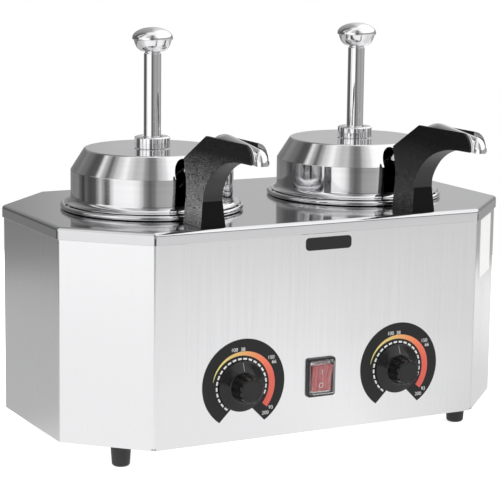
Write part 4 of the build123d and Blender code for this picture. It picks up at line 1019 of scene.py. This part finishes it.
def build_thermostat_knob(side):
    """Dished skirt with a rolled edge, and a fluted grip that narrows a little towards its face."""
    shaft = middle_mm(f"thermostat_shaft_{side}")
    place = facing_front(shaft.x, shaft.z, y=box_mm(f"thermostat_knob_{side}")[1].y)
    body = f"control_knob_{side}"
    profile = [(3.1, 0.0), (19.2, 0.0)] + arc(19.4, 0.9, 0.9, -90, 60, 7)
    profile += curve_points([(19.4, 1.9), (17.0, 2.7), (14.5, 3.6), (12.6, 4.5)], 5)
    profile += [(12.0, 5.2), (3.1, 5.2)]
    build = turned(profile, steps=128, place=place)
    # rings of the grip: depth from the panel, radius, and how deep its flutes are there
    flutes, steps, full = 12, 12, 1.15
    rings = []
    for depth, radius, share in ((4.0, 11.6, 1.0), (6.0, 11.3, 1.0), (12.0, 10.6, 1.0), (16.2, 10.1, 1.0),
                                 (17.0, 9.9, 0.7), (17.5, 9.4, 0.3), (17.7, 8.7, 0.3), (17.65, 7.6, 0.0),
                                 (17.3, 7.3, 0.0)):
        flute = [share * full * max(0.0, math.cos(2 * math.pi * i / steps)) ** 1.2 for i in range(steps)]
        rings.append(add_ring(build, grooved_circle(radius, depth, flute * flutes), place))
    join_rings(build, rings)
    build.faces.new(rings[-1])
    new_piece(f"control_{side}_knob", build, body, f"thermostat_knob_{side}", "knob_black", crease=38)
    # pointer line up the skirt to the grip, as (radius, depth)
    pointer = bmesh.new()
    line = [(18.9, 2.12), (17.0, 2.75), (14.5, 3.65), (12.8, 4.5)]
    for (r0, d0), (r1, d1) in zip(line, line[1:]):
        corners = [(-0.25, r0, d0), (0.25, r0, d0), (0.25, r1, d1), (-0.25, r1, d1)]
        pointer.faces.new(add_ring(pointer, [(u, r, d + PRINT_DEPTH) for u, r, d in corners], place))
    new_piece(f"control_{side}_pointer", pointer, body, None, "knob_black", "engraved_line", smooth=False)


def build_switch_housing(place, face):
    """Bezel and body behind it, with the opening for the rocker through both."""
    opening = rounded_box(19.6, 25.2, 0.8)
    bezel = new_piece("switch_bezel", prism(rounded_box(25.5, 31.5, 2.4), 0, face, place), "cabinet",
                      "switch_housing", "switch_black")
    combine(bezel, [prism(opening, -20, face + 2, place)])
    bevel(bezel, 0.8, segments=4, angle=50)
    shell = prism(rectangle(22.0, 28.4), -24, -0.1, place)
    shell = new_piece("switch_body", shell, "cabinet", None, "switch_black")
    combine(shell, [prism(opening, -22, 2, place)])


def build_switch_cover(place, face):
    """Soft clear cover: sloping walls with a rounded front edge."""
    cover = bmesh.new()
    skins = []
    for sizes in (
        ((22.0, 1.6, 0.0), (21.6, 1.6, 2.2), (21.2, 1.6, 3.0), (20.6, 1.5, 3.45), (19.8, 1.4, 3.6)),
        ((20.6, 1.2, 0.0), (20.2, 1.2, 2.4), (19.4, 1.1, 2.9)),
    ):
        outlines = [(rounded_box(width, width + 5.6, corner), face + lift) for width, corner, lift in sizes]
        skins.append(add_stack(cover, outlines, place))
        cover.faces.new(skins[-1][-1])
    join_rings(cover, [skins[0][0], skins[1][0]])
    new_piece("switch_clear_cover", cover, "cabinet", "switch_cover", "cover_clear")


def build_rocker(middle, front_y):
    """Rocker with two sloping faces, tilted with its lower half pressed, and its ring and bar marks."""
    tilt = math.radians(9.0)
    pivot = Matrix.Translation((middle.x, front_y + 6.0, middle.z)) @ Matrix.Rotation(tilt, 4, "X")
    outline = [(-6.4, 10.6), (-5.9, 6.0), (-5.3, 2.0), (-5.2, 0.0), (-5.3, -2.0), (-5.9, -6.0), (-6.4, -10.6),
               (-2, -10.6), (5, -6), (5, 6), (-2, 10.6)]
    rocker = new_piece("rocker_lens", prism(outline, -9.3, 9.3, pivot @ seen_from_side(0)), "rocker",
                       "switch_rocker", "rocker_red")
    bevel(rocker, 0.5, angle=25)
    # pale ring on the lower half, and a short bar on the upper half
    marks = bmesh.new()
    low_face = pivot @ facing_front(0, -5.6, y=-6.02)
    high_face = pivot @ facing_front(0, 5.8, y=-6.02)
    mark_height = 0.06
    ring = []
    for half_width, half_height in ((1.35, 1.7), (1.95, 2.3)):
        points = [(half_width * u, half_height * v, lift) for u, v, lift in circle(1.0, mark_height, 32)]
        ring.append(add_ring(marks, points, low_face))
    join_rings(marks, ring)
    bar = [(u, v, mark_height) for u, v in rectangle(0.6, 4.4)]
    marks.faces.new(add_ring(marks, bar, high_face))
    new_piece("rocker_marks", marks, "rocker", None, "rocker_red", "dial_print", smooth=False)


def build_front_plate():
    """Small plate at the top of the front, kept bare."""
    low, high = box_mm("front_label")
    middle = middle_mm("front_label")
    outline = rounded_box(high.x - low.x, high.z - low.z, 3.0, 8)
    plate = new_piece("front_plate_bare", prism(outline, 0, PLATE_THICK, facing_front(middle.x, middle.z)),
                      "cabinet", "front_label", "label_black")
    bevel(plate, 0.15, segments=2)


build_casing()
build_deck()
build_feet()
for side in SIDES:
    axis_x = middle_mm(f"pump_cylinder_{side}").x
    for build in (build_jar, build_lid, build_collar, build_plunger, build_tube, build_arm, build_trough,
                  build_return_spring):
        build(side, axis_x)
    build_dial(side)
    build_thermostat_knob(side)
switch_middle, switch_front = middle_mm("switch_housing"), box_mm("switch_housing")[0].y
switch_place = facing_front(switch_middle.x, switch_middle.z)
build_switch_housing(switch_place, FRONT_Y - switch_front)
build_switch_cover(switch_place, FRONT_Y - switch_front)
build_rocker(switch_middle, switch_front)
build_front_plate()


# ==== studio ====
# Brightness round the object as (turn, level). The turn is 0 straight in front, 0.25 to the right, 0.5 behind
# and 0.75 to the left. The table is one ring, and the walls are three, one above the other.
TABLE = (
    (0.00, 1.02), (0.06, 1.08), (0.09, 0.98), (0.15, 0.78), (0.25, 0.80), (0.33, 1.10), (0.40, 0.70),
    (0.50, 0.45), (0.56, 0.56), (0.62, 0.54), (0.68, 0.55), (0.74, 0.70), (0.80, 1.06), (0.86, 1.06),
    (0.91, 1.00),
)
WALLS_BELOW_EYE = (
    (0.00, 0.52), (0.03, 0.72), (0.07, 0.95), (0.10, 0.95), (0.15, 0.95), (0.22, 0.80), (0.29, 0.45),
    (0.41, 0.38), (0.47, 0.27), (0.53, 0.24), (0.57, 0.26), (0.60, 0.12), (0.615, 0.05), (0.635, 0.15),
    (0.66, 0.08), (0.688, 0.10), (0.703, 0.34), (0.715, 0.66), (0.729, 0.36), (0.742, 0.10), (0.754, 0.16),
    (0.768, 0.80), (0.782, 1.15), (0.85, 1.20), (0.875, 1.05), (0.890, 0.72), (0.905, 0.28), (0.922, 0.15),
    (0.938, 0.22), (0.955, 0.44), (0.975, 0.48),
)
WALLS_AT_EYE = (
    (0.00, 0.36), (0.05, 0.44), (0.09, 0.36), (0.12, 0.36), (0.15, 0.44), (0.20, 0.46), (0.26, 0.42),
    (0.32, 0.28), (0.38, 0.50), (0.405, 0.58), (0.432, 0.55), (0.446, 0.30), (0.47, 0.24), (0.53, 0.20),
    (0.58, 0.12), (0.67, 0.10), (0.69, 0.16), (0.705, 0.80), (0.72, 1.15), (0.74, 0.95), (0.76, 1.20),
    (0.86, 1.25), (0.885, 0.90), (0.90, 0.18), (0.935, 0.12), (0.955, 0.26),
)
WALLS_ABOVE_EYE = (
    (0.00, 0.90), (0.03, 1.30), (0.08, 1.50), (0.13, 1.35), (0.26, 1.30), (0.31, 1.35), (0.38, 1.25),
    (0.415, 0.75), (0.44, 0.42), (0.50, 0.34), (0.54, 0.28), (0.58, 0.20), (0.62, 0.10), (0.645, 0.12),
    (0.665, 1.00), (0.685, 0.50), (0.705, 0.16), (0.725, 0.45), (0.745, 0.80), (0.787, 1.20), (0.81, 0.88),
    (0.84, 0.66), (0.87, 0.70), (0.90, 0.36), (0.92, 0.22), (0.945, 0.26), (0.975, 0.68),
)


def turn_about_object(where):
    """How far round the object a point or direction lies, from 0 to 1 with the front at 0, and its height."""
    parts = axes(where)
    angle = math_node("ARCTAN2", parts["X"], times(parts["Y"], -1.0))
    turn = plus(math_node("DIVIDE", angle, 2 * math.pi), 1.0)
    return math_node("FRACT", turn), parts["Z"]


def studio_ring(turn, levels):
    """Grey level round the studio, from a list of (turn, level)."""
    node = put("ShaderNodeValToRGB", Fac=turn)
    node.color_ramp.interpolation = "EASE"
    for stop in node.color_ramp.elements:
        stop.color = grey(levels[0][1])
    for position, level in levels[1:]:
        node.color_ramp.elements.new(position).color = grey(level)
    return node.outputs[0]


def for_camera(seen, mirrored):
    """What the camera sees directly, and what every other ray finds instead."""
    is_camera = put("ShaderNodeLightPath", tree=seen.id_data).outputs["Is Camera Ray"]
    return put("ShaderNodeMixShader", in0=is_camera, in1=mirrored, in2=seen).outputs[0]


def build_floor():
    """White table that takes the object's faint shadow and shows in the lower half of the panels."""
    # lifted to white where the light falls short, so only the contact shadow shows
    shader, place = start_material("table_white", Roughness=0.9, Specular_IOR_Level=0.0,
                                   Emission_Color=grey(1.0), Emission_Strength=0.72)
    feed(shader, Base_Color=mix_colours(noise(place, 3.0), grey(0.90), grey(0.94)))
    ring = studio_ring(turn_about_object(place)[0], TABLE)
    mirrored = put("ShaderNodeEmission", Color=ring, Strength=1.0).outputs[0]
    output = next(node for node in shader.id_data.nodes if node.type == "OUTPUT_MATERIAL")
    feed(output, Surface=for_camera(shader.outputs[0], mirrored))
    build = bmesh.new()
    table_radius = 850.0
    build.faces.new(add_ring(build, circle(table_radius, 0.0, 95)))
    new_piece("table_top", build, None, finish="table_white", smooth=False)


def build_world():
    """White for the camera; round the object, studio walls whose brightness changes with direction."""
    world = bpy.data.worlds.new("studio")
    bpy.context.scene.world = world
    world.use_nodes = True
    tree = world.node_tree
    tree.nodes.clear()
    turn, height = turn_about_object(put("ShaderNodeTexCoord", tree=tree).outputs["Generated"])
    room = studio_ring(turn, WALLS_BELOW_EYE)
    # each wall passes into the next over a band of heights, and the last into a bright ceiling
    for low, high, wall in ((-0.136, -0.126, WALLS_AT_EYE), (0.23, 0.30, WALLS_ABOVE_EYE)):
        room = mix_colours(remap(height, low, high), room, studio_ring(turn, wall))
    ceiling = (1.05, 1.05, 1.06, 1)
    room = mix_colours(remap(height, 0.90, 0.98), room, ceiling)
    mirrored = put("ShaderNodeBackground", Color=room).outputs[0]
    plain = put("ShaderNodeBackground", tree=tree, Color=grey(1.0)).outputs[0]
    put("ShaderNodeOutputWorld", Surface=for_camera(plain, mirrored))


def softbox(name, position, width, height, power):
    """A soft lamp aimed at the object. Only its light counts: no surface reflects the lamp itself."""
    light = bpy.data.lights.new(name, "AREA")
    light.shape = "RECTANGLE"
    light.size, light.size_y, light.energy = width, height, power
    lamp = link_new(name, light)
    lamp.location = position
    lamp.rotation_euler = (Vector((0, 0, 0.1)) - Vector(position)).to_track_quat("-Z", "Y").to_euler()
    lamp.visible_camera = False
    lamp.visible_glossy = False


def build_camera():
    """Product view from the front left, a little above the deck, through a long lens."""
    azimuth, tilt_down, roll = math.radians(-27.848), math.radians(10.275), math.radians(0.719)
    lens = bpy.data.cameras.new("product_view")
    lens.sensor_width = 36.0
    lens.lens = 141.53
    lens.clip_start, lens.clip_end = 0.05, 50.0
    camera = link_new("product_view", lens)
    place = Matrix.Translation((-0.76177, -1.43350, 0.44171))
    for angle, axis in ((azimuth, "Z"), (math.pi / 2 - tilt_down, "X"), (roll, "Z")):
        place = place @ Matrix.Rotation(angle, 4, axis)
    camera.matrix_world = place
    bpy.context.scene.camera = camera


build_floor()
build_world()
build_camera()
softbox("key_softbox", (-1.3, -1.2, 1.5), 1.2, 1.2, 14)
softbox("fill_softbox", (1.6, -1.4, 0.9), 1.0, 1.0, 9)
softbox("top_softbox", (0.1, 0.3, 1.8), 1.6, 1.0, 10)

view = bpy.context.scene.view_settings
view.view_transform = "Standard"
